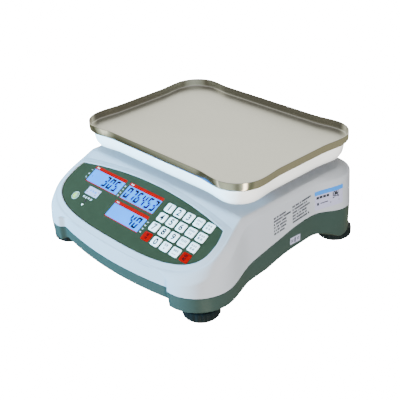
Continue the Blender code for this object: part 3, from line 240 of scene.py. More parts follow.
def overlay_film():
    made = Shade("overlay_film", 0.42, Specular_IOR_Level=0.12)
    made.vary((0.022, 0.031, 0.017), 0.05, 90.0, 5.0)
    made.rough(0.38, 0.50, 300.0)
    made.bump(made.cells(3200.0), 0.14, 0.00006)
    return made.mat


def lcd_glass():
    """Backlit display: even blue glow that drifts a little brighter in soft patches, with a faint
    pixel grid.
    """
    made = Shade("lcd_glass", 0.35, Specular_IOR_Level=0.04)
    glow = made.span(made.noise(28.0, 2.0), 0.0, 1.0)
    made.color(made.mix(glow, (0.0005, 0.006, 0.02), (0.0008, 0.008, 0.025)))
    made.set(made.shader, "Emission Color", made.mix(glow, (0.002, 0.78, 3.2), (0.004, 0.90, 3.7)))
    made.set(made.shader, "Emission Strength", 1.0)
    made.bump(made.cells(2400.0), 0.05, 0.00003)
    return made.mat


def vial_liquid():
    made = Shade("vial_liquid", 0.10, Coat_Weight=0.6, Coat_Roughness=0.05)
    # colour runs from light on the left to dark on the right across the liquid: painted light and
    # painted shade
    split = made.node("SeparateXYZ", "X", Vector=made.coords)
    across = made.span(split, 1.0, 0.0, VIAL[0] - 0.0045, VIAL[0] + 0.0035)
    made.color(made.mix(across, (0.16, 0.26, 0.14), (0.42, 0.60, 0.05)))
    made.bump(made.noise(600.0), 0.04, 0.00005)
    return made.mat


def circuit_board():
    made = Shade("circuit_board", 0.38, Coat_Weight=0.3)
    made.color(made.node("TexBrick", "Color", Vector=made.coords, Scale=90.0, Mortar_Size=0.018,
                         Color1=(0.02, 0.13, 0.05), Color2=(0.015, 0.10, 0.04),
                         Mortar=(0.10, 0.30, 0.12)))
    made.bump(made.noise(700.0), 0.10, 0.00008)
    return made.mat


def laminations():
    made = Shade("transformer_core", 0.5, 0.6)
    wave = made.node("TexWave", "Fac", Vector=made.coords, Scale=420.0, Distortion=0.6,
                     Detail=2.0)
    made.color(made.mix(wave, (0.20, 0.13, 0.08), (0.33, 0.24, 0.16)))
    made.bump(wave, 0.35, 0.0002)
    return made.mat


def stage_floor():
    """Pale floor that the camera sees nearly as white as the wall behind it."""
    made = Shade("stage_floor", 0.9, Specular_IOR_Level=0.1)
    made.vary((0.12, 0.12, 0.12), 0.01, 6.0)
    path = made.tree.nodes.new("ShaderNodeLightPath")
    made.set(made.shader, "Emission Color", (1.0, 1.0, 1.0))
    made.set(made.shader, "Emission Strength",
             made.span(path.outputs["Is Camera Ray"], 0.0, FLOOR_GLOW, 0.0, 1.0))
    return made.mat


STEEL = tray_steel("tray_steel", 0.30, 0.03)
RIM_STEEL = tray_steel("rim_steel", 0.10, 0.06)
# housing and platter are one white plastic; this housing copy is painted darker, painted shade for
# how the light falls on the housing
WHITE = moulded("white_moulding", (0.37, 0.39, 0.43), 0.36, 0.6, 0.12)
# the platter's copy of the same white plastic is painted lighter, painted light for how the light
# falls on the platter
PLATTER_WHITE_PAINTED_LIGHT = moulded("platter_moulding_painted_light", (0.95, 0.95, 0.93), 0.34, 0.5, 0.2)
GREEN = moulded("green_moulding", (0.026, 0.045, 0.040), 0.42, 0.9, 0.25, 0.04)
OVERLAY = overlay_film()
KEY_WHITE = moulded("key_white", (0.86, 0.87, 0.87), 0.40, 0.3, 0.15)
KEY_RED = moulded("key_red", (0.25, 0.0008, 0.0010), 0.40, 0.3, 0.06)
LCD = lcd_glass()
INK = printed("ink_black", (0.004, 0.004, 0.005), 0.5)
INK_GREY = printed("ink_grey", (0.020, 0.022, 0.030))
INK_RED = printed("ink_red", (0.30, 0.0004, 0.0006))
INK_PALE = printed("ink_pale", (0.62, 0.68, 0.68))
INK_BLUE = printed("ink_blue", (0.03, 0.20, 0.62))
LABEL = printed("label_paper", (0.36, 0.36, 0.50), 0.5)
VIAL_SHELL = moulded("vial_shell", (0.26, 0.36, 0.30), 0.22, 0.2)
VIAL_LIQUID = vial_liquid()
LAMP = moulded("lamp_lens", (0.78, 0.80, 0.78), 0.18, 0.1)
LAMP_DARK = moulded("lamp_dark", (0.02, 0.02, 0.02), 0.22, 0.1)
RUBBER = moulded("foot_rubber", (0.003, 0.0065, 0.008), 0.55, 1.6, 0.25, 0.15)
DARK = moulded("console_plate", (0.02, 0.045, 0.04), 0.6, 1.0)
CELL = metal("cell_aluminium", (0.64, 0.65, 0.66), 0.34, (1.0, 18.0, 18.0))
CAST = metal("cast_aluminium", (0.50, 0.51, 0.52), 0.50, None, 520.0, 0.0003, 0.10)
ZINC = metal("zinc_steel", (0.56, 0.56, 0.57), 0.33, (20.0, 20.0, 1.0))
BOARD = circuit_board()
BATTERY = moulded("battery_case", (0.03, 0.03, 0.035), 0.48, 1.4, 0.4, 0.10)
CORE = laminations()
BLACK = moulded("black_moulding", (0.016, 0.016, 0.018), 0.44, 1.3, 0.4, 0.10)
ROCKER = moulded("rocker_moulding", (0.022, 0.022, 0.024), 0.30, 0.5)


# ---------------------------------------------------------------- mesh helpers
CORNERS = ((1, -1), (1, 1), (-1, 1), (-1, -1))


def finish_object(name, bm, mat, body, smooth_angle=32, matrix=None):
    if matrix is not None:
        bmesh.ops.transform(bm, matrix=matrix, verts=bm.verts)
    bmesh.ops.recalc_face_normals(bm, faces=bm.faces)
    mesh = bpy.data.meshes.new(name)
    bm.to_mesh(mesh)
    bm.free()
    mesh.materials.append(mat)
    mesh.shade_smooth()
    mesh.set_sharp_from_angle(angle=math.radians(smooth_angle))
    obj = bpy.data.objects.new(name, mesh)
    bpy.context.scene.collection.objects.link(obj)
    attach(obj, body)
    return obj


def loft(loops, wrap=False, bm=None, ladder=False):
    """Closed body through equal loops, which wrap round or end in a flat or crosswise cap."""
    bm = bmesh.new() if bm is None else bm
    rows = [[bm.verts.new(point) for point in loop] for loop in loops]
    pairs = list(zip(rows, rows[1:])) + ([(rows[-1], rows[0])] if wrap else [])
    for low, high in pairs:
        for i in range(len(low)):
            j = (i + 1) % len(low)
            bm.faces.new((low[i], low[j], high[j], high[i]))
    if ladder:
        add_ladder(bm, rows[-1], True)
        add_ladder(bm, rows[0], False)
    elif not wrap:
        bm.faces.new(list(reversed(rows[0])))
        bm.faces.new(rows[-1])
    return bm


def add_ladder(bm, row, outward):
    """Cap of crosswise strips over a loop that is its own mirror image."""
    for i in range(len(row) // 2):
        face = list(dict.fromkeys([row[i], row[i + 1], row[-i - 1], row[-i]]))
        bm.faces.new(face if outward else list(reversed(face)))


def flat(outline, z):
    return [(x, y, z) for x, y in outline]


def prism(outline, low, high, bm=None):
    return loft([flat(outline, low), flat(outline, high)], bm=bm)


def arc(centre, radius, start, end, steps):
    """Points on a circle's arc from one angle to another, in degrees."""
    turns = [math.radians(start + (end - start) * i / steps) for i in range(steps + 1)]
    return [(centre[0] + radius * math.cos(turn), centre[1] + radius * math.sin(turn))
            for turn in turns]


def circle(radius, steps, centre=(0.0, 0.0)):
    return arc(centre, radius, 0, 360, steps)[:-1]


def rectangle(width, height, centre=(0.0, 0.0)):
    x, y, w, h = *centre, width / 2, height / 2
    return [(x - w, y - h), (x + w, y - h), (x + w, y + h), (x - w, y + h)]


def rounded(width, height, radius, centre=(0.0, 0.0), steps=6):
    points = []
    for number, (sx, sy) in enumerate(CORNERS):
        middle = (centre[0] + sx * (width / 2 - radius), centre[1] + sy * (height / 2 - radius))
        points += arc(middle, radius, 90 * number - 90, 90 * number, steps)
    return points


def combine(bm, other, operation, matrix=None):
    """Boolean of two closed bodies, the second placed by matrix."""
    if matrix is not None:
        bmesh.ops.transform(other, matrix=matrix, verts=other.verts)
    holders = []
    for body in (bm, other):
        bmesh.ops.recalc_face_normals(body, faces=body.faces)
        mesh = bpy.data.meshes.new("boolean")
        body.to_mesh(mesh)
        body.free()
        holder = bpy.data.objects.new("boolean", mesh)
        bpy.context.scene.collection.objects.link(holder)
        holders.append(holder)
    cut = holders[0].modifiers.new("cut", "BOOLEAN")
    cut.operation = operation
    cut.object = holders[1]
    cut.solver = "EXACT"
    evaluated = holders[0].evaluated_get(bpy.context.evaluated_depsgraph_get())
    result = bmesh.new()
    result.from_mesh(evaluated.to_mesh())
    for holder in holders:
        mesh = holder.data
        bpy.data.objects.remove(holder)
        bpy.data.meshes.remove(mesh)
    bmesh.ops.dissolve_degenerate(result, dist=1e-7, edges=result.edges)
    return result


# ---------------------------------------------------------------- housing curves
def smooth(value):
    value = min(max(value, 0.0), 1.0)
    return value * value * (3 - 2 * value)


def profile(pairs):
    stations = [(FRONT_Y + run, height) for run, height in pairs[0]]
    stations += [(REAR_Y - run, height) for run, height in pairs[1]]
    ys = np.array([station[0] for station in stations])
    heights = np.array([station[1] for station in stations])
    slopes = np.gradient(heights, ys)
    slopes[0] = slopes[-1] = 0.0

    def height_at(y):
        if y <= ys[0] or y >= ys[-1]:
            return heights[0] if y <= ys[0] else heights[-1]
        i = int(np.searchsorted(ys, y)) - 1
        span = ys[i + 1] - ys[i]
        t = (y - ys[i]) / span
        low = (2 * t**3 - 3 * t**2 + 1) * heights[i] + (t**3 - 2 * t**2 + t) * span * slopes[i]
        high = (3 * t**2 - 2 * t**3) * heights[i + 1] + (t**3 - t**2) * span * slopes[i + 1]
        return low + high

    return height_at


crease_drop, parting_height, edge_height = profile(CREASE), profile(PARTING), profile(EDGE)
LOBE_X = HALF_WIDTH - FRONT_LOBE
STEP_OUTER = LOBE_X - STEP_FROM_LOBE
STEP_INNER = STEP_OUTER - STEP_RUN
FRONT_LOBE_Y = FRONT_Y + FRONT_LOBE_REACH + FRONT_LOBE
REAR_LOBE_Y = REAR_Y - REAR_SAG - REAR_LOBE
FRONT_N, STEP_N, LOBE_N, REAR_LOBE_N, REAR_N = 18, 12, 28, 18, 10


def side_x(y):
    front = smooth((y - FRONT_LOBE_Y) / FRONT_WAIST_RUN)
    return HALF_WIDTH - SIDE_WAIST * front * smooth((REAR_LOBE_Y - y) / REAR_WAIST_RUN)


def side_stations():
    first = np.linspace(FRONT_LOBE_Y, FOLD_Y - FOLD_ROUND, 10)
    fold = np.linspace(FOLD_Y - FOLD_ROUND, FOLD_Y + FOLD_ROUND, 11)
    last = np.linspace(FOLD_Y + FOLD_ROUND, REAR_LOBE_Y, 34)
    return list(first) + list(fold[1:]) + list(last[1:])


def half_outline():
    points = []
    for i in range(FRONT_N):
        x = STEP_INNER * i / FRONT_N
        points.append((x, FRONT_Y + FRONT_SAG * (x / STEP_INNER) ** 2))
    lobe_front = FRONT_LOBE_Y - math.sqrt(FRONT_LOBE**2 - STEP_FROM_LOBE**2)
    start = FRONT_Y + FRONT_SAG
    for i in range(STEP_N):
        points.append((STEP_INNER + STEP_RUN * i / STEP_N,
                       start + (lobe_front - start) * smooth(i / STEP_N)))
    first = -90 - math.degrees(math.asin(STEP_FROM_LOBE / FRONT_LOBE))
    points += arc((LOBE_X, FRONT_LOBE_Y), FRONT_LOBE, first, 0, LOBE_N)[:-1]
    points += [(side_x(y), y) for y in side_stations()[:-1]]
    rear_x = HALF_WIDTH - REAR_LOBE
    points += arc((rear_x, REAR_LOBE_Y), REAR_LOBE, 0, 90, REAR_LOBE_N)[:-1]
    for i in range(REAR_N + 1):
        x = rear_x * (1 - i / REAR_N)
        points.append((x, REAR_Y - REAR_SAG * (x / rear_x) ** 2))
    return points


def both_halves(half):
    return half + [(-x, *rest) for x, *rest in reversed(half[1:-1])]


def inward(loop, distance):
    ring = np.array(loop)
    tangent = np.roll(ring, -1, axis=0) - np.roll(ring, 1, axis=0)
    tangent /= np.linalg.norm(tangent, axis=1)[:, None]
    return [tuple(point) for point in ring + distance * np.c_[-tangent[:, 1], tangent[:, 0]]]


def resample(points, count):
    line = np.array(points)
    run = np.r_[0, np.cumsum(np.linalg.norm(np.diff(line, axis=0), axis=1))]
    places = np.linspace(0, run[-1], count + 1)[:-1]
    return [(float(np.interp(s, run, line[:, 0])), float(np.interp(s, run, line[:, 1])))
            for s in places]


def panel_lower(grow, steps):
    points = []
    for i in range(steps + 1):
        angle = math.pi / 2 * (i / steps - 1)
        up = -(PANEL_LOWER + grow) * abs(math.sin(angle)) ** (2 / PANEL_POWER)
        points.append(((PANEL_HALF + grow) * math.cos(angle) ** (2 / PANEL_POWER),
                       up - PANEL_MIDDLE))
    return points


def panel_outline(grow, steps=44, side_steps=10, top_steps=22):
    """Console outline in the panel's plane, its upper corners slightly eased."""
    half = panel_lower(grow, steps)
    inset, corner_up = PANEL_CORNER[0], PANEL_CORNER[1] + grow
    corner_x = PANEL_HALF - inset + grow
    for i in range(1, side_steps + 1):
        part = i / side_steps
        half.append((PANEL_HALF + grow - inset * part**2,
                     -PANEL_MIDDLE + (corner_up + PANEL_MIDDLE) * part))
    peak = PANEL_PEAK + grow
    for i in range(1, top_steps + 1):
        x = corner_x * (1 - i / top_steps)
        half.append((x, peak - (peak - corner_up) * (x / corner_x) ** 2))
    return both_halves(half)


def deck_height(y):
    ahead = FOLD_Y + FOLD_ROUND - y
    if ahead <= 0:
        return DECK_Z
    if ahead < 2 * FOLD_ROUND:
        return DECK_Z - math.tan(TILT) / (4 * FOLD_ROUND) * ahead**2
    return DECK_Z - (FOLD_Y - y) * math.tan(TILT)


def half_top_loop():
    reach = BEZEL + 0.0015
    front = [(x, PANEL_ORIGIN.y + up * math.cos(TILT)) for x, up in panel_lower(reach, 90)]
    points = resample(front, FRONT_N + STEP_N + LOBE_N)
    inner_x = HALF_WIDTH - SHOULDER_INSET
    corner = REAR_LOBE - SHOULDER_INSET
    start_x, start_y = front[-1]
    for y in side_stations()[:-1]:
        along = (y - FRONT_LOBE_Y) / (FOLD_Y - FRONT_LOBE_Y)
        points.append((start_x + (inner_x - start_x) * smooth(along),
                       y if along >= 1 else start_y + (FOLD_Y - start_y) * along))
    rear_x = inner_x - corner
    points += arc((rear_x, REAR_LOBE_Y), corner, 0, 90, REAR_LOBE_N)[:-1]
    for i in range(REAR_N + 1):
        x = rear_x * (1 - i / REAR_N)
        points.append((x, REAR_LOBE_Y + corner + REAR_SAG * (1 - (x / rear_x) ** 2)))
    return points


def crease_height(x, y):
    side = DECK_Z - crease_drop(y)
    on_front = smooth((STEP_OUTER - abs(x)) / STEP_RUN) if y < FRONT_LOBE_Y else 0.0
    return side + (DECK_Z - RIDGE_DROP - side) * on_front


def lower_edge(x, y):
    if FRONT_LOBE_Y < y < REAR_LOBE_Y:
        return edge_height(y)
    return edge_height(y) + FRONT_ARCH * smooth((STEP_OUTER - abs(x)) / STEP_RUN)


def shoulder_point(crease, top, part, skin):
    """Point on the rounded shoulder, from the crease (0) to the deck (1)."""
    low = crease_height(*crease) - skin / 2
    high = deck_height(top[1]) - skin
    return np.array((crease[0] + (top[0] - crease[0]) * part,
                     crease[1] + (top[1] - crease[1]) * part,
                     low + (high - low) * (1 - (1 - part) ** SHOULDER_POWER)))


def outer_profiles(outline, crease, top, wall_rings, round_rings, shoulder_rings):
    """Rings of the outer skin from the parting line over an eased crease to the deck."""
    columns = []
    for foot, edge, inner in zip(outline, crease, top):
        parting = parting_height(foot[1])
        corner = shoulder_point(edge, inner, 0.0, 0.0)
        base = np.array((*foot, parting + SEAM))
        down = (corner - base) / np.linalg.norm(corner - base)
        ahead = shoulder_point(edge, inner, 1e-3, 0.0) - corner
        part = CREASE_ROUND / np.linalg.norm(ahead) * 1e-3
        first = corner - down * min(CREASE_ROUND, np.linalg.norm(corner - base) * 0.5)
        last = shoulder_point(edge, inner, part, 0.0)
        column = [base + (first - base) * i / wall_rings for i in range(wall_rings)]
        for i in range(round_rings):
            t = i / round_rings
            column.append((1 - t) ** 2 * first + 2 * t * (1 - t) * corner + t * t * last)
        for i in range(shoulder_rings + 1):
            place = part + (1 - part) * i / shoulder_rings
            column.append(shoulder_point(edge, inner, place, 0.0))
        columns.append(column)
    return [list(row) for row in zip(*columns)]


# ---------------------------------------------------------------- housing
def housing_top():
    outline = both_halves(half_outline())
    crease = inward(outline, DRAFT)
    top = both_halves(half_top_loop())
    inner_crease = inward(outline, DRAFT + WALL)
    rings = [[shoulder_point(c, t, 1 - i / 6, WALL) for c, t in zip(inner_crease, top)]
             for i in range(7)]
    rings.append([(x, y, parting_height(y)) for x, y in inward(outline, WALL)])
    rings.append([(x, y, parting_height(y)) for x, y in inward(outline, SEAM)])
    rings += outer_profiles(outline, crease, top, 3, 6, 16)
    bm = combine(loft(rings, ladder=True), prism(panel_outline(BEZEL - 0.002), -0.03, 0.02),
                 "DIFFERENCE", PANEL)
    holes = bmesh.new()
    for post in POSTS:
        prism(circle(POST_HOLE, 40, post), 0.0895, 0.12, holes)
    bm = combine(bm, holes, "DIFFERENCE")
    piece = finish_object("housing_top", bm, WHITE, "base")
    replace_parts(piece, "upper_housing") or piece


def half_floor_loop():
    ring = SHELF + SHELF_RAMP
    foot_x, front_y = FEET["front_right"]
    rear_y = FEET["rear_right"][1]
    inner_x = foot_x - ring
    points = []
    for i in range(FRONT_N):
        x = inner_x * i / FRONT_N
        points.append((x, FRONT_Y + FLOOR_MARGIN + FRONT_SAG * (x / inner_x) ** 2))
    low_y = FRONT_Y + FLOOR_MARGIN + FRONT_SAG
    for i in range(STEP_N):
        points.append((inner_x, low_y + (front_y - low_y) * i / STEP_N))
    points += arc((foot_x, front_y), ring, 180, 90, LOBE_N)[:-1]
    first, last = front_y + ring, rear_y - ring
    steps = len(side_stations()) - 1
    for i in range(steps):
        y = first + (last - first) * i / steps
        near = smooth((y - first) / ring) * smooth((last - y) / ring)
        points.append((foot_x + (side_x(y) - FLOOR_MARGIN - foot_x) * near, y))
    points += arc((foot_x, rear_y), ring, -90, -180, REAR_LOBE_N)[:-1]
    points.append((inner_x, rear_y))
    high_y = REAR_Y - REAR_SAG - FLOOR_MARGIN
    for i in range(REAR_N):
        points.append((inner_x * (1 - i / (REAR_N - 1)), high_y))
    return points


def housing_base():
    outline = both_halves(half_outline())
    heights = [lower_edge(x, y) for x, y in outline]
    level = both_halves(half_floor_loop())
    shelf = [(x, y, z) for (x, y), z in zip(inward(level, -SHELF_RAMP), heights)]
    floor = flat(level, FLOOR_Z)
    rings = [floor, shelf]
    for inset, up in arc((EDGE_ROUND, EDGE_ROUND), EDGE_ROUND, 270, 180, 6):
        rings.append([(x, y, z + up) for (x, y), z in zip(inward(outline, DRAFT + inset),
                                                          heights)])
    rings.append([(x, y, (z + EDGE_ROUND + parting_height(oy)) / 2)
                  for (x, y), (_, oy), z in zip(inward(outline, DRAFT / 2), outline, heights)])
    rings.append([(x, y, parting_height(y) - GAP - SEAM) for x, y in outline])
    rings.append([(x, y, parting_height(y) - GAP) for x, y in inward(outline, SEAM)])
    rings.append([(x, y, parting_height(y) - GAP) for x, y in inward(outline, WALL)])
    inner = inward(outline, DRAFT + EDGE_ROUND + WALL)
    rings.append([(x, y, z + WALL) for (x, y), z in zip(inner, heights)])
    rings.append([(x, y, z + WALL) for x, y, z in shelf])
    rings.append([(x, y, z + WALL) for x, y, z in floor])
    bm = loft(rings)
    bosses = bmesh.new()
    for x, y in FEET.values():
        prism(circle(BOSS_RADIUS, 40, (x, y)), edge_height(y) + WALL / 2, BOSS_TOP, bosses)
    bm = combine(bm, bosses, "UNION")
    holes = bmesh.new()
    for foot in FEET.values():
        prism(circle(STUD_HOLE, 32, foot), 0.0, 0.05, holes)
    for place in PILLARS:
        prism(circle(SCREW_HOLE, 20, place), 0.02, 0.04, holes)
    for node, room in (("battery_cover", GAP), ("power_switch_frame", GAP - 0.002)):
        low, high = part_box(node)
        middle = (low + high) / 2
        prism(rectangle(high.x - low.x + 2 * room, high.y - low.y + 2 * room,
                        (middle.x, middle.y)), 0.019, 0.039, holes)
    low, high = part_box("power_inlet")
    mouth = rounded(high.x - low.x + 2 * GAP, high.z - low.z + 2 * GAP, 0.003,
                    ((low.x + high.x) / 2, (low.z + high.z) / 2))
    loft([[(x, y, z) for x, z in mouth] for y in (low.y - 0.001, REAR_Y + 0.01)], bm=holes)
    bm = combine(bm, holes, "DIFFERENCE")
    piece = finish_object("housing_base", bm, GREEN, "base")
    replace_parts(piece, "lower_housing")


# ---------------------------------------------------------------- tray and platter
def tray_outline(inset, corner_steps=18, side_steps=30):
    (width, length), corner = TRAY_SIZE, TRAY_CORNER
    points = []
    for number, (sx, sy) in enumerate(CORNERS):
        centre = (sx * (width / 2 - corner), sy * (length / 2 - corner))
        points += arc(centre, corner, 90 * number - 90, 90 * number, corner_steps)
        run = (length if number % 2 == 0 else width) - 2 * corner
        turn = math.pi / 2 * number
        last_x, last_y = points[-1]
        for i in range(1, side_steps):
            travel = run * i / side_steps
            points.append((last_x - travel * math.sin(turn), last_y + travel * math.cos(turn)))
    drawn = []
    for x, y in points:
        pull_x = TRAY_WAIST[0] * smooth((length / 2 - corner - abs(y)) / TRAY_WAIST_RUN)
        pull_y = TRAY_WAIST[1] * smooth((width / 2 - corner - abs(x)) / TRAY_WAIST_RUN)
        drawn.append((x * (1 - pull_x / (width / 2)), y * (1 - pull_y / (length / 2))))
    return [(x, y + TRAY_Y) for x, y in inward(drawn, inset)]


def weighing_tray():
    fold = (TRAY_FOLD, TRAY_Z + TRAY_FOLD)
    outer = arc(fold, TRAY_FOLD, 270, 180, 7)
    lip = arc((SHEET / 2, TRAY_Z + TRAY_RIM - SHEET / 2), SHEET / 2, 180, 0, 6)
    inner = arc(fold, TRAY_FOLD - SHEET, 180, 270, 6)
    loops = [flat(tray_outline(inset), z) for inset, z in outer + lip + inner]
    piece = finish_object("tray_pan", loft(loops), STEEL, "tray", 50)
    piece.data.materials.append(RIM_STEEL)
    for face in piece.data.polygons:
        upright = abs(face.normal.z) < 0.5
        face.material_index = int(upright and face.center.z > TRAY_Z + TRAY_WALL_FROM)
    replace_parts(piece, "weighing_tray")


def platter():
    top = PLATTER_Z + PLATTER_HEIGHT
    edge, low, wall = PLATTER_INSET, PLATTER_INSET + PLATTER_LEAN, PLATTER_WALL
    stations = arc((edge + PLATTER_ROUND, top - PLATTER_ROUND), PLATTER_ROUND, 90, 180, 7)
    stations += [(edge + 0.0006, PLATTER_Z + 0.0125), (edge + 0.0012, PLATTER_Z + PLATTER_BEND),
                 (edge + 0.0021, PLATTER_Z + 0.0055), (low - 0.0024, PLATTER_Z + 0.0030),
                 (low - 0.0011, PLATTER_Z + 0.0012), (low - 0.0002, PLATTER_Z + 0.0002),
                 (low + 0.0004, PLATTER_Z), (low + wall, PLATTER_Z),
                 (edge + wall + 0.001, PLATTER_Z + PLATTER_BEND),
                 (edge + wall + 0.001, top - wall)]
    loops = [flat(tray_outline(inset), z) for inset, z in stations]
    piece = finish_object("platter_frame", loft(loops), PLATTER_WHITE_PAINTED_LIGHT, "platform", 40)
    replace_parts(piece, "platter")


# ---------------------------------------------------------------- console
def key_places():
    return [(KEY_X + column * PITCH_X, -row * PITCH_Y) for row in range(4) for column in range(5)]


def console():
    """Bezel ring, printed overlay and the plate under it."""
    stations = [(0.0003, -0.0016), (0.0003, PROUD - 0.0004), (0.0004, PROUD - 0.00015),
                (0.0007, PROUD), (LIP - 0.0004, PROUD), (LIP, PROUD - 0.0001),
                (LIP + 0.0006, PROUD - 0.0004), (LIP + 0.0030, 0.0002), (BEZEL - 0.0010, -0.0003),
                (BEZEL - 0.0002, -0.00055), (BEZEL + 0.0004, -0.00085), (BEZEL + 0.0004, -0.0016)]
    rings = [flat(panel_outline(grow), w) for grow, w in stations]
    bezel = finish_object("console_bezel", loft(rings, True), WHITE, "base", 40, PANEL)
    film = prism(panel_outline(0.0), -0.0012, 0.0)
    holes = bmesh.new()
    for x, up in key_places():
        prism(rounded(KEY_WIDTH + 2 * GAP, KEY_HEIGHT + 2 * GAP, KEY_CORNER + GAP, (x, up)),
              -0.01, 0.01, holes)
    for place in LCDS.values():
        prism(rounded(LCD_WIDTH + 2 * GAP, LCD_HEIGHT + 2 * GAP, LCD_CORNER, place, 3),
              -0.01, 0.01, holes)
    prism(circle(VIAL_RADIUS + GAP, 48, VIAL), -0.01, 0.01, holes)
    for place in LEDS:
        prism(circle(LED_RADIUS + GAP, 24, place), -0.01, 0.01, holes)
    film = combine(film, holes, "DIFFERENCE")
    overlay = finish_object("overlay_film", film, OVERLAY, "base", 30, PANEL)
    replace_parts(overlay, "keypad_overlay")
    plate = prism(panel_outline(-0.001), -0.0040, -0.0022)
    finish_object("console_plate", plate, DARK, "base", 30, PANEL)


def glyph(text, height, weight=0.0):
    """Outline digits from Blender's own font as a closed mesh, centred, of a given height."""
    curve = bpy.data.curves.new("glyph", "FONT")
    curve.body = text
    curve.size = 1.0
    curve.offset = weight
    curve.extrude = 0.02
    curve.resolution_u = 4
    holder = bpy.data.objects.new("glyph", curve)
    bpy.context.scene.collection.objects.link(holder)
    bpy.context.view_layer.update()
    evaluated = holder.evaluated_get(bpy.context.evaluated_depsgraph_get())
    bm = bmesh.new()
    bm.from_mesh(evaluated.to_mesh())
    bpy.data.objects.remove(holder)
    bpy.data.curves.remove(curve)
    bmesh.ops.remove_doubles(bm, verts=bm.verts, dist=1e-5)
    points = np.array([v.co for v in bm.verts])
    low, high = points.min(0), points.max(0)
    middle = Vector((low + high) / 2)
    scale = height / (high[1] - low[1])
    for vert in bm.verts:
        vert.co -= middle
        vert.co *= Vector((scale, scale, DIGIT_RELIEF))
    return bm


class Print:
    """Thin printed marks gathered in one mesh, drawn in a plane."""

    def __init__(self, face, depth=INK_HALF):
        self.bm = bmesh.new()
        self.face = face
        self.depth = depth

    def shape(self, outline):
        prism(outline, self.face - self.depth, self.face + self.depth, self.bm)

    def bar(self, x, y, width, height):
        self.shape(rectangle(width, height, (x, y)))

    def strokes(self, x, y, width, height, seed):
        """A dense little mark of crossed strokes, which says nothing."""
        pick = np.random.default_rng(seed)
        rows = 3 + int(pick.integers(0, 2))
        for i in range(rows):
            length = width * (0.6 + 0.4 * pick.random())
            self.bar(x + (width - length) * (pick.random() - 0.5),
                     y - height / 2 + height * (i + 0.5) / rows, length, height * 0.14)
        for _ in range(2):
            self.bar(x + width * (pick.random() - 0.5) * 0.7, y, width * 0.15,
                     height * (0.75 + 0.2 * pick.random()))

    def line(self, x, y, count, width, height, gap, seed):
        first = x - (count - 1) * (width + gap) / 2
        for i in range(count):
            self.strokes(first + i * (width + gap), y, width, height, seed * 17 + i)

    def done(self, name, mat, body, matrix=PANEL):
        return finish_object(name, self.bm, mat, body, 30, matrix)


FUNCTION_MARKS = {
    "key_weight_limit": ((0.0020, 4, 0.0019, 0.0026), (-0.0022, 2, 0.0022, 0.0028)),
    "key_count_limit": ((0.0020, 2, 0.0032, 0.0026), (-0.0020, 2, 0.0034, 0.0030)),
    "key_unit_weight": ((0.0020, 4, 0.0019, 0.0026), (-0.0022, 2, 0.0022, 0.0028)),
    "key_sample_count": ((0.0020, 3, 0.0026, 0.0028), (-0.0020, 2, 0.0036, 0.0034)),
    "key_tare": ((0.0016, 4, 0.0018, 0.0034),),
    "key_total": ((0.0020, 3, 0.0024, 0.0026), (-0.0020, 2, 0.0036, 0.0030)),
    "key_decimal": ((0.0022, 2, 0.0028, 0.0034),),
    "key_zero": ((0.0018, 3, 0.0022, 0.0028),),
    "key_clear": ((0.0022, 1, 0.0040, 0.0038), (-0.0020, 1, 0.0042, 0.0034)),
    "key_recall": ((0.0021, 1, 0.0046, 0.0036), (-0.0021, 1, 0.0046, 0.0036)),
}


def keys():
    names = [name for row in KEY_NAMES for name in row]
    for number, (name, (x, up)) in enumerate(zip(names, key_places())):
        red = name in ("key_clear", "key_recall")
        stations = [(0.0, -0.0011), (0.0, 0.00025), (0.00006, 0.00042), (0.0002, 0.00055),
                    (0.0004, KEY_TOP)]
        loops = [flat(rounded(KEY_WIDTH - 2 * inset, KEY_HEIGHT - 2 * inset, KEY_CORNER - inset,
                              (x, up)), w) for inset, w in stations]
        cap = finish_object("cap_" + name, loft(loops), KEY_RED if red else KEY_WHITE, name,
                            40, PANEL)
        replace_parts(cap, name)
        digit = name.rpartition("_")[2]
        if digit.isdigit():
            marks = glyph(digit, DIGIT_HEIGHT, DIGIT_WEIGHT)
            place = PANEL @ Matrix.Translation((x, up, KEY_TOP))
            finish_object("digit_" + digit, marks, INK, name, 30, place)
            continue
        marks = Print(KEY_TOP)
        for offset, count, width, height in FUNCTION_MARKS[name]:
            marks.line(x, up + offset, count, width, height, 0.0005, number)
        if name == "key_decimal":
            marks.shape(circle(0.0010, 24, (x - 0.0002, up - 0.0026)))
        marks.done("marks_" + name, INK if red else INK_GREY, name)
        if name in ("key_tare", "key_zero"):
            line = Print(KEY_TOP)
            for i in range(5):
                line.bar(x + (i - 2) * 0.0014, up - 0.0030, 0.0011, 0.0008)
            line.done("underline_" + name, INK_RED, name)


# ---------------------------------------------------------------- displays
SEGMENTS = {"0": "abcdef", "1": "bc", "3": "abgcd", "4": "fgbc", "5": "afgcd", "6": "afgedc",
            "7": "abc"}


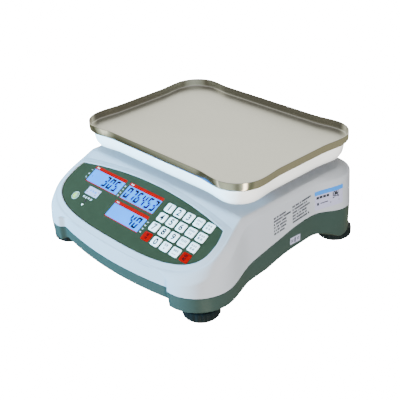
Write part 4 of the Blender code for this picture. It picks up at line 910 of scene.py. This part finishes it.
def add_segment(bm, corner, letter):
    """One bar of a seven-segment digit, slanted with it."""
    (left, low), (width, height), thick = corner, SEGMENT_DIGIT, SEGMENT_THICK
    half, gap = thick / 2, thick * 0.12
    right, middle, high = left + width, low + height / 2, low + height
    if letter == "g":
        outline = [(left + gap + half, middle), (left + gap + 2 * half, middle + half),
                   (right - gap - 2 * half, middle + half), (right - gap - half, middle),
                   (right - gap - 2 * half, middle - half),
                   (left + gap + 2 * half, middle - half)]
    elif letter in "ad":
        out, level = (half, high - half) if letter == "a" else (-half, low + half)
        reach, tip = thick * 0.55 + gap, gap + half * 0.2
        outline = [(left + tip, level + out * 0.999), (left + reach, level - out),
                   (right - reach, level - out), (right - tip, level + out * 0.999)]
    else:
        edge, inner = (right, right - thick) if letter in "bc" else (left, left + thick)
        inset = thick * 0.8
        if letter in "bf":
            y0, y1, first, last = middle + gap + half * 0.4, high - gap, half * 0.6, inset
        else:
            y0, y1, first, last = low + gap, middle - gap, inset, half
        outline = [(edge, y0), (edge, y1), (inner, y1 - last), (inner, y0 + first)]
    points = [(x + (y - low) * SEGMENT_SLANT, y) for x, y in outline]
    area = sum(a[0] * b[1] - b[0] * a[1] for a, b in zip(points, points[1:] + points[:1]))
    lay(bm, points if area > 0 else points[::-1])


def lay(bm, outline):
    """Thin dark shape on a display's face."""
    prism(outline, SEGMENT_FACE - SEGMENT_HALF, SEGMENT_FACE + SEGMENT_HALF, bm)


def readout(name, text, right):
    """Lit segments of a display, set against its right-hand end."""
    x, up = LCDS[name]
    bm = bmesh.new()
    place = x + LCD_WIDTH / 2 - right - len(text.replace(".", "")) * SEGMENT_PITCH
    base = up - SEGMENT_DIGIT[1] / 2 + 0.0002
    for letter in text:
        if letter == ".":
            dot = (place - SEGMENT_PITCH + SEGMENT_DIGIT[0] + 0.0008, base + 0.0006)
            lay(bm, circle(0.00075, 16, dot))
            continue
        for segment in SEGMENTS[letter]:
            add_segment(bm, (place, base), segment)
        place += SEGMENT_PITCH
    return bm, place, base


def displays():
    rows = (("lcd_weight", "30.5", 0.0052), ("lcd_unit_weight", "0.76453", 0.0010),
            ("lcd_quantity", "40", 0.0052))
    bands = Print(0.0)
    for name, text, right in rows:
        x, up = LCDS[name]
        loops = [flat(rounded(LCD_WIDTH - 2 * inset, LCD_HEIGHT - 2 * inset, LCD_CORNER,
                              (x, up), 3), w)
                 for inset, w in ((0.0, -0.0020), (0.0, -0.0005), (0.0001, -0.0004))]
        glass = finish_object("glass_" + name, loft(loops), LCD, "base", 40, PANEL)
        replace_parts(glass, name)
        bm, place, base = readout(name, text, right)
        if name == "lcd_weight":
            lay(bm, circle(0.0007, 16, (x - LCD_WIDTH / 2 + 0.0048, up - 0.0012)))
            for dx, dy in ((0.0010, 0.0132), (-0.0012, 0.0004)):
                lay(bm, rectangle(0.0009, 0.0018, (place + dx, base + dy)))
        finish_object("segments_" + name, bm, INK, "base", 30, PANEL)
        top = up + LCD_HEIGHT / 2
        bands.bar(x, top + GAP + BAND_HEIGHT / 2, LCD_WIDTH + 0.0010, BAND_HEIGHT)
        bands.bar(x, up - LCD_HEIGHT / 2 - GAP - 0.0005, LCD_WIDTH + 0.0010, 0.0010)
    bands.done("display_bands", INK_RED, "base")


def console_print():
    """Small pale marks, the blank label and the lamps' legends."""
    pale = Print(0.0)
    for name, (x, up) in LCDS.items():
        left = x - LCD_WIDTH / 2
        for i in range(2):
            spot = (left + 0.0030 + 0.0028 * i, up + LCD_HEIGHT / 2 + GAP + 0.0022)
            prism(rectangle(0.0018, 0.0016, spot), 0.00002, 0.00008, pale.bm)
    columns = (("lcd_weight", -LCD_WIDTH / 2 - 0.0034, 0.0062, 0.0062, 3, 0.0026, 0.0016, 40),
               ("lcd_weight", LCD_WIDTH / 2 + 0.0040, 0.0060, 0.0050, 4, 0.0026, 0.0020, 50),
               ("lcd_quantity", LCD_WIDTH / 2 + 0.0040, 0.0070, 0.0048, 4, 0.0028, 0.0020, 60))
    for name, across, first, pitch, count, width, height, seed in columns:
        x, up = LCDS[name]
        for i in range(count):
            pale.strokes(x + across, up + first - pitch * i, width, height, seed + i)
    pale.line(-0.0800, -0.0372, 4, 0.0040, 0.0030, 0.0008, 7)
    pale.done("console_marks", INK_PALE, "base")
    label = Print(0.0, 0.00008)
    label.shape(rounded(0.0240, 0.0118, 0.0008, (-0.0790, -0.0270)))
    label.done("console_label", LABEL, "base")
    blue = Print(0.00008)
    blue.line(-0.0795, -0.0262, 3, 0.0038, 0.0032, 0.0012, 3)
    blue.done("console_label_blue", INK_BLUE, "base")
    red = Print(0.00008)
    for place in ((-0.0885, -0.0300), (-0.0720, -0.0300), (-0.0695, -0.0245)):
        red.bar(*place, 0.0016, 0.0014)
    red.done("console_label_red", INK_RED, "base")


def dome(radius, rise, centre, base, steps=32, rings=6):
    """Low dome with a flat underside."""
    loops = [flat(circle(radius, steps, centre), base)]
    for i in range(rings):
        angle = math.pi / 2 * i / rings
        loops.append(flat(circle(radius * math.cos(angle), steps, centre),
                          base + 0.0006 + rise * math.sin(angle)))
    return loft(loops)


def level_and_lamps():
    ring = [flat(circle(r, 48, VIAL), w) for r, w in (
        (VIAL_RADIUS, VIAL_DEPTH), (VIAL_RADIUS, -0.0002), (VIAL_RADIUS - 0.0003, 0.0),
        (VIAL_RADIUS - 0.0010, 0.0), (VIAL_RADIUS - 0.0012, -0.0002),
        (VIAL_RADIUS - 0.0012, VIAL_DEPTH))]
    shell = finish_object("vial_ring", loft(ring, True), VIAL_SHELL, "base", 40, PANEL)
    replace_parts(shell, "level_vial")
    liquid = dome(VIAL_RADIUS - 0.0013, 0.0006, VIAL, -0.0014, 48)
    finish_object("vial_liquid", liquid, VIAL_LIQUID, "base", 60, PANEL)
    bubble = dome(0.0016, 0.0005, (VIAL[0] + 0.0012, VIAL[1] + 0.0014), -0.0008, 28, 5)
    finish_object("vial_bubble", bubble, VIAL_SHELL, "base", 60, PANEL)
    for name, place, mat in (("charge_lamp", LEDS[0], LAMP_DARK), ("power_lamp", LEDS[1], LAMP)):
        lens = dome(LED_RADIUS, 0.0004, place, -0.0008, 24, 4)
        piece = finish_object(name + "_lens", lens, mat, "base", 60, PANEL)
        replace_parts(piece, name)


# ---------------------------------------------------------------- feet
def toothed(radius, depth, centre, steps=240):
    """Circle with shallow grip notches round it."""
    points = []
    for i in range(steps):
        turn = 2 * math.pi * i / steps
        wave = max(0.0, 0.5 - 0.5 * math.cos(turn * FOOT_TEETH)) ** 1.5
        reach = radius - depth * wave
        points.append((centre[0] + reach * math.cos(turn), centre[1] + reach * math.sin(turn)))
    return points


def feet():
    for name, centre in FEET.items():
        wide, high = FOOT_RADIUS, FOOT_HEIGHT
        loops = [flat(toothed(wide - inset, depth, centre), z) for inset, depth, z in (
            (0.0028, 0.0, 0.0), (0.0022, 0.0, 0.0003), (0.0006, 0.0006, 0.0018),
            (0.0001, FOOT_TOOTH, 0.0027), (0.0, FOOT_TOOTH, 0.0040),
            (0.0, FOOT_TOOTH, high - 0.0010), (0.0005, 0.0008, high - 0.0002),
            (0.0010, 0.0006, high))]
        loops += [flat(toothed(STUD_HOLE, 0.0, centre), z) for z in (high, STUD_SEAT)]
        pad = finish_object("pad_" + name, loft(loops), RUBBER, "foot_" + name, 40)
        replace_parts(pad, "foot_pad_" + name)


# ---------------------------------------------------------------- marks on the right side
def upper_wall(y, z):
    """Distance out to the upper housing's side at a place on it."""
    parting, crease = parting_height(y), DECK_Z - crease_drop(y)
    return side_x(y) - DRAFT * (z - parting) / (crease - parting)


def base_wall(y, z):
    edge, parting = edge_height(y) + EDGE_ROUND, parting_height(y)
    return side_x(y) - DRAFT * (parting - z) / (parting - edge)


def patch(bm, wall, y0, y1, z0, z1, rise=0.0, lift=0.00003, thick=0.00006, cells=None):
    """Thin closed sheet that follows a side wall; rise tilts its long edges."""
    count = cells or max(2, int(abs(y1 - y0) / 0.003) + 1)
    grids = []
    for out in (lift - thick, lift + thick):
        grid = []
        for i in range(count + 1):
            y = y0 + (y1 - y0) * i / count
            shift = rise * (y1 - y0) * i / count
            grid.append([bm.verts.new((wall(y, z + shift) + out, y, z + shift))
                         for z in np.linspace(z0, z1, 5)])
        grids.append(grid)
    inner, outer = grids
    for i in range(count):
        for j in range(4):
            bm.faces.new((outer[i][j], outer[i + 1][j], outer[i + 1][j + 1], outer[i][j + 1]))
            bm.faces.new((inner[i][j], inner[i][j + 1], inner[i + 1][j + 1], inner[i + 1][j]))
        for j in (0, 4):
            bm.faces.new((inner[i][j], inner[i + 1][j], outer[i + 1][j], outer[i][j]))
    for i in (0, count):
        for j in range(4):
            bm.faces.new((inner[i][j], outer[i][j], outer[i][j + 1], inner[i][j + 1]))


def side_marks():
    pick = np.random.default_rng(5)
    text = bmesh.new()
    rise = 0.062
    for row in range(6):
        z = 0.0840 - row * 0.0041
        for start, end in ((-0.0100, 0.0185), (0.0225, 0.0560)):
            y = start
            stop = end - 0.010 * pick.random()
            while y < stop:
                width = 0.0010 + 0.0012 * pick.random()
                shift = rise * (y + 0.01)
                patch(text, upper_wall, y, y + width, z + shift, z + shift + 0.0024, rise, cells=1)
                y += width + 0.0004 + (0.0012 if pick.random() < 0.2 else 0.0)
    finish_object("side_marks", text, INK_GREY, "base")
    paper = bmesh.new()
    patch(paper, upper_wall, 0.0625, 0.1050, 0.0655, 0.0855, -0.03)
    finish_object("side_label", paper, LABEL, "base")
    blue = bmesh.new()
    patch(blue, upper_wall, 0.0625, 0.1050, 0.0853, 0.0910, -0.03, 0.00006)
    finish_object("side_label_header", blue, INK_BLUE, "base")
    marks = bmesh.new()
    lift = 0.00012
    for y, z, width, height in ((0.0650, 0.0802, 0.0040, 0.0032), (0.0700, 0.0802, 0.0040, 0.0032),
                                (0.0750, 0.0800, 0.0040, 0.0032), (0.0800, 0.0798, 0.0034, 0.0032),
                                (0.0660, 0.0715, 0.0030, 0.0036), (0.0710, 0.0727, 0.0110, 0.0012),
                                (0.0850, 0.0700, 0.0140, 0.0012)):
        patch(marks, upper_wall, y, y + width, z, z + height, 0.0, lift, 0.00005, 1)
    for i in range(7):
        for j in range(7):
            if pick.random() < 0.6:
                y, z = 0.0888 + i * 0.0013, 0.0750 + j * 0.0013
                patch(marks, upper_wall, y, y + 0.0013, z, z + 0.0013, 0.0, lift, 0.00005, 1)
    finish_object("side_label_marks", marks, INK_GREY, "base")
    small = bmesh.new()
    patch(small, base_wall, 0.0184, 0.0367, 0.0365, 0.0461, -0.06)
    finish_object("base_label", small, LABEL, "base")
    bars = bmesh.new()
    patch(bars, base_wall, 0.0262, 0.0282, 0.0373, 0.0439, 0.0, lift, 0.00005, 1)
    for y, z in ((0.0200, 0.0415), (0.0200, 0.0393), (0.0305, 0.0413), (0.0305, 0.0391)):
        patch(bars, base_wall, y, y + 0.0045, z, z + 0.0010, 0.0, lift, 0.00005, 1)
    finish_object("base_label_marks", bars, INK, "base")


# ---------------------------------------------------------------- carried-over pieces
def finish_frame_nodes():
    finishes = {
        "load_cell": CELL, "load_cell_spacer": CELL, "platform_spider": CAST,
        "overload_stop": ZINC, "main_board": BOARD, "display_board": BOARD, "battery": BATTERY,
        "battery_cover": GREEN, "transformer": CORE, "power_inlet": BLACK,
        "power_switch_frame": BLACK, "power_switch_rocker": ROCKER,
    }
    for name, node in frame["nodes"].items():
        mat = finishes.get(name)
        if name.startswith(("foot_stud", "housing_screw")):
            mat = ZINC
        elif name.startswith("cushion"):
            mat = RUBBER
        if mat is not None:
            node.data.materials.clear()
            node.data.materials.append(mat)


# ---------------------------------------------------------------- stage, light, camera
def stage():
    bm = bmesh.new()
    bmesh.ops.create_grid(bm, x_segments=8, y_segments=8, size=6.0)
    mesh = bpy.data.meshes.new("stage_floor")
    bm.to_mesh(mesh)
    bm.free()
    mesh.materials.append(stage_floor())
    floor = bpy.data.objects.new("stage_floor", mesh)
    floor.location.z = -0.0002
    floor.visible_glossy = False
    bpy.context.scene.collection.objects.link(floor)


def area_light(name, place, target, size, power, color):
    light = bpy.data.lights.new(name, "AREA")
    light.shape = "RECTANGLE"
    light.size, light.size_y = size
    light.energy = power
    light.color = color
    obj = bpy.data.objects.new(name, light)
    obj.location = place
    aim = Vector(target) - Vector(place)
    obj.rotation_euler = aim.to_track_quat("-Z", "Y").to_euler()
    obj.visible_glossy = False
    bpy.context.scene.collection.objects.link(obj)


def world():
    """White behind the object, a soft even sky for shading, and a darker room in reflections."""
    sky = bpy.data.worlds.new("studio")
    bpy.context.scene.world = sky
    sky.use_nodes = True
    tree = sky.node_tree
    tree.nodes.clear()
    link = tree.links.new

    def background(color, strength):
        made = tree.nodes.new("ShaderNodeBackground")
        made.inputs["Strength"].default_value = strength
        if isinstance(color, bpy.types.NodeSocket):
            link(color, made.inputs["Color"])
        else:
            made.inputs["Color"].default_value = (*color, 1.0)
        return made.outputs["Background"]

    def ramp(factor, stops):
        made = tree.nodes.new("ShaderNodeValToRGB")
        link(factor, made.inputs["Fac"])
        elements = made.color_ramp.elements
        for number, (place, color) in enumerate(stops):
            stop = elements[number] if number < 2 else elements.new(place)
            stop.position = place
            stop.color = (*color, 1.0)
        return made.outputs["Color"]

    def ranged(value, low, high):
        made = tree.nodes.new("ShaderNodeMapRange")
        made.inputs["From Min"].default_value = low
        made.inputs["From Max"].default_value = high
        link(value, made.inputs["Value"])
        return made.outputs["Result"]

    def mixed(factor, first, second):
        made = tree.nodes.new("ShaderNodeMixShader")
        for socket, source in zip(made.inputs, (factor, first, second)):
            link(source, socket)
        return made.outputs["Shader"]

    coords = tree.nodes.new("ShaderNodeTexCoord").outputs["Generated"]
    split = tree.nodes.new("ShaderNodeSeparateXYZ")
    link(coords, split.inputs["Vector"])
    along = tree.nodes.new("ShaderNodeVectorMath")
    along.operation = "DOT_PRODUCT"
    along.inputs[1].default_value = BACK_WALL
    link(coords, along.inputs[0])
    across = ranged(along.outputs["Value"], -1.0, 1.0)
    round_room = background(ramp(across, ROOM_STOPS), 1.0)
    above = background(ramp(split.outputs["Z"], CEILING_STOPS), 1.0)
    compass = tree.nodes.new("ShaderNodeMath")
    compass.operation = "ARCTAN2"
    link(split.outputs["Y"], compass.inputs[0])
    link(split.outputs["X"], compass.inputs[1])
    around = ranged(compass.outputs["Value"], -math.pi, math.pi)
    below = background(ramp(around, BENCH_STOPS), 1.0)
    low = mixed(ranged(split.outputs["Z"], *BENCH_EDGE), below, round_room)
    reflected = mixed(ranged(split.outputs["Z"], *CEILING_EDGE), low, above)
    path = tree.nodes.new("ShaderNodeLightPath")
    lit = mixed(path.outputs["Is Diffuse Ray"], reflected, background(AMBIENT, 1.0))
    seen = mixed(path.outputs["Is Camera Ray"], lit, background((1.0, 1.0, 1.0), WALL_GLOW))
    out = tree.nodes.new("ShaderNodeOutputWorld")
    link(seen, out.inputs["Surface"])


BACK_WALL = (-0.75, 0.66, 0.0)
WALL_GLOW, FLOOR_GLOW = 24.0, 22.0
BENCH_EDGE, CEILING_EDGE = (-0.25, -0.10), (0.55, 0.80)
AMBIENT = (0.035, 0.038, 0.040)
# what mirrors see level with the tray, across the room from behind the camera to the back wall
ROOM_STOPS = ((0.0, (1.0, 1.1, 1.0)), (1.0, (1.80, 1.80, 1.62)), (0.20, (0.24, 0.23, 0.17)),
              (0.62, (0.20, 0.20, 0.17)), (0.80, (1.55, 1.58, 1.34)))
# what upright steel mirrors in the bench, by compass direction round the scale
BENCH_STOPS = ((0.0, (0.28, 0.30, 0.19)), (1.0, (0.30, 0.32, 0.20)), (0.100, (0.14, 0.15, 0.10)),
               (0.118, (0.55, 0.60, 0.46)), (0.138, (0.95, 1.05, 0.85)), (0.148, (2.7, 2.8, 2.3)),
               (0.165, (0.80, 0.90, 0.74)), (0.230, (1.05, 1.15, 0.90)), (0.300, (0.85, 0.95, 0.75)),
               (0.345, (0.40, 0.42, 0.32)), (0.365, (0.40, 0.42, 0.32)), (0.405, (1.1, 1.15, 0.9)),
               (0.420, (11.0, 9.0, 6.5)), (0.437, (11.0, 9.0, 6.5)), (0.455, (0.50, 0.52, 0.36)),
               (0.480, (0.28, 0.29, 0.19)), (0.500, (0.30, 0.31, 0.20)), (0.530, (0.52, 0.50, 0.33)),
               (0.629, (0.50, 0.47, 0.31)))
CEILING_STOPS = ((0.0, (0.35, 0.35, 0.35)), (1.0, (0.7, 0.7, 0.7)))


def lights():
    area_light("key_left", (-1.05, -1.45, 0.42), (0, -0.03, 0.09), (0.16, 0.16), 165.0,
               (0.50, 1.0, 1.40))
    area_light("right_side", (1.50, -0.75, 0.40), (0, 0, 0.08), (0.16, 0.16), 62.0,
               (1.0, 0.98, 0.94))
    area_light("top_rear", (-0.12, 0.42, 1.25), (0, 0, 0.08), (0.22, 0.22), 6.0,
               (0.90, 1.0, 1.15))


def camera():
    data = bpy.data.cameras.new("camera")
    data.lens = 72.04
    data.sensor_width = 36.0
    right, up, back = ((0.6803, 0.7310, -0.0537), (-0.3207, 0.3628, 0.8749),
                       (0.6590, -0.5780, 0.4813))
    turn = Matrix((right, up, back)).transposed().to_4x4()
    obj = bpy.data.objects.new("camera", data)
    obj.matrix_world = Matrix.Translation((0.6910, -0.5993, 0.5548)) @ turn
    bpy.context.scene.collection.objects.link(obj)
    bpy.context.scene.camera = obj


housing_top()
housing_base()
weighing_tray()
platter()
console()
keys()
displays()
console_print()
level_and_lamps()
feet()
side_marks()
finish_frame_nodes()
stage()
world()
lights()
camera()
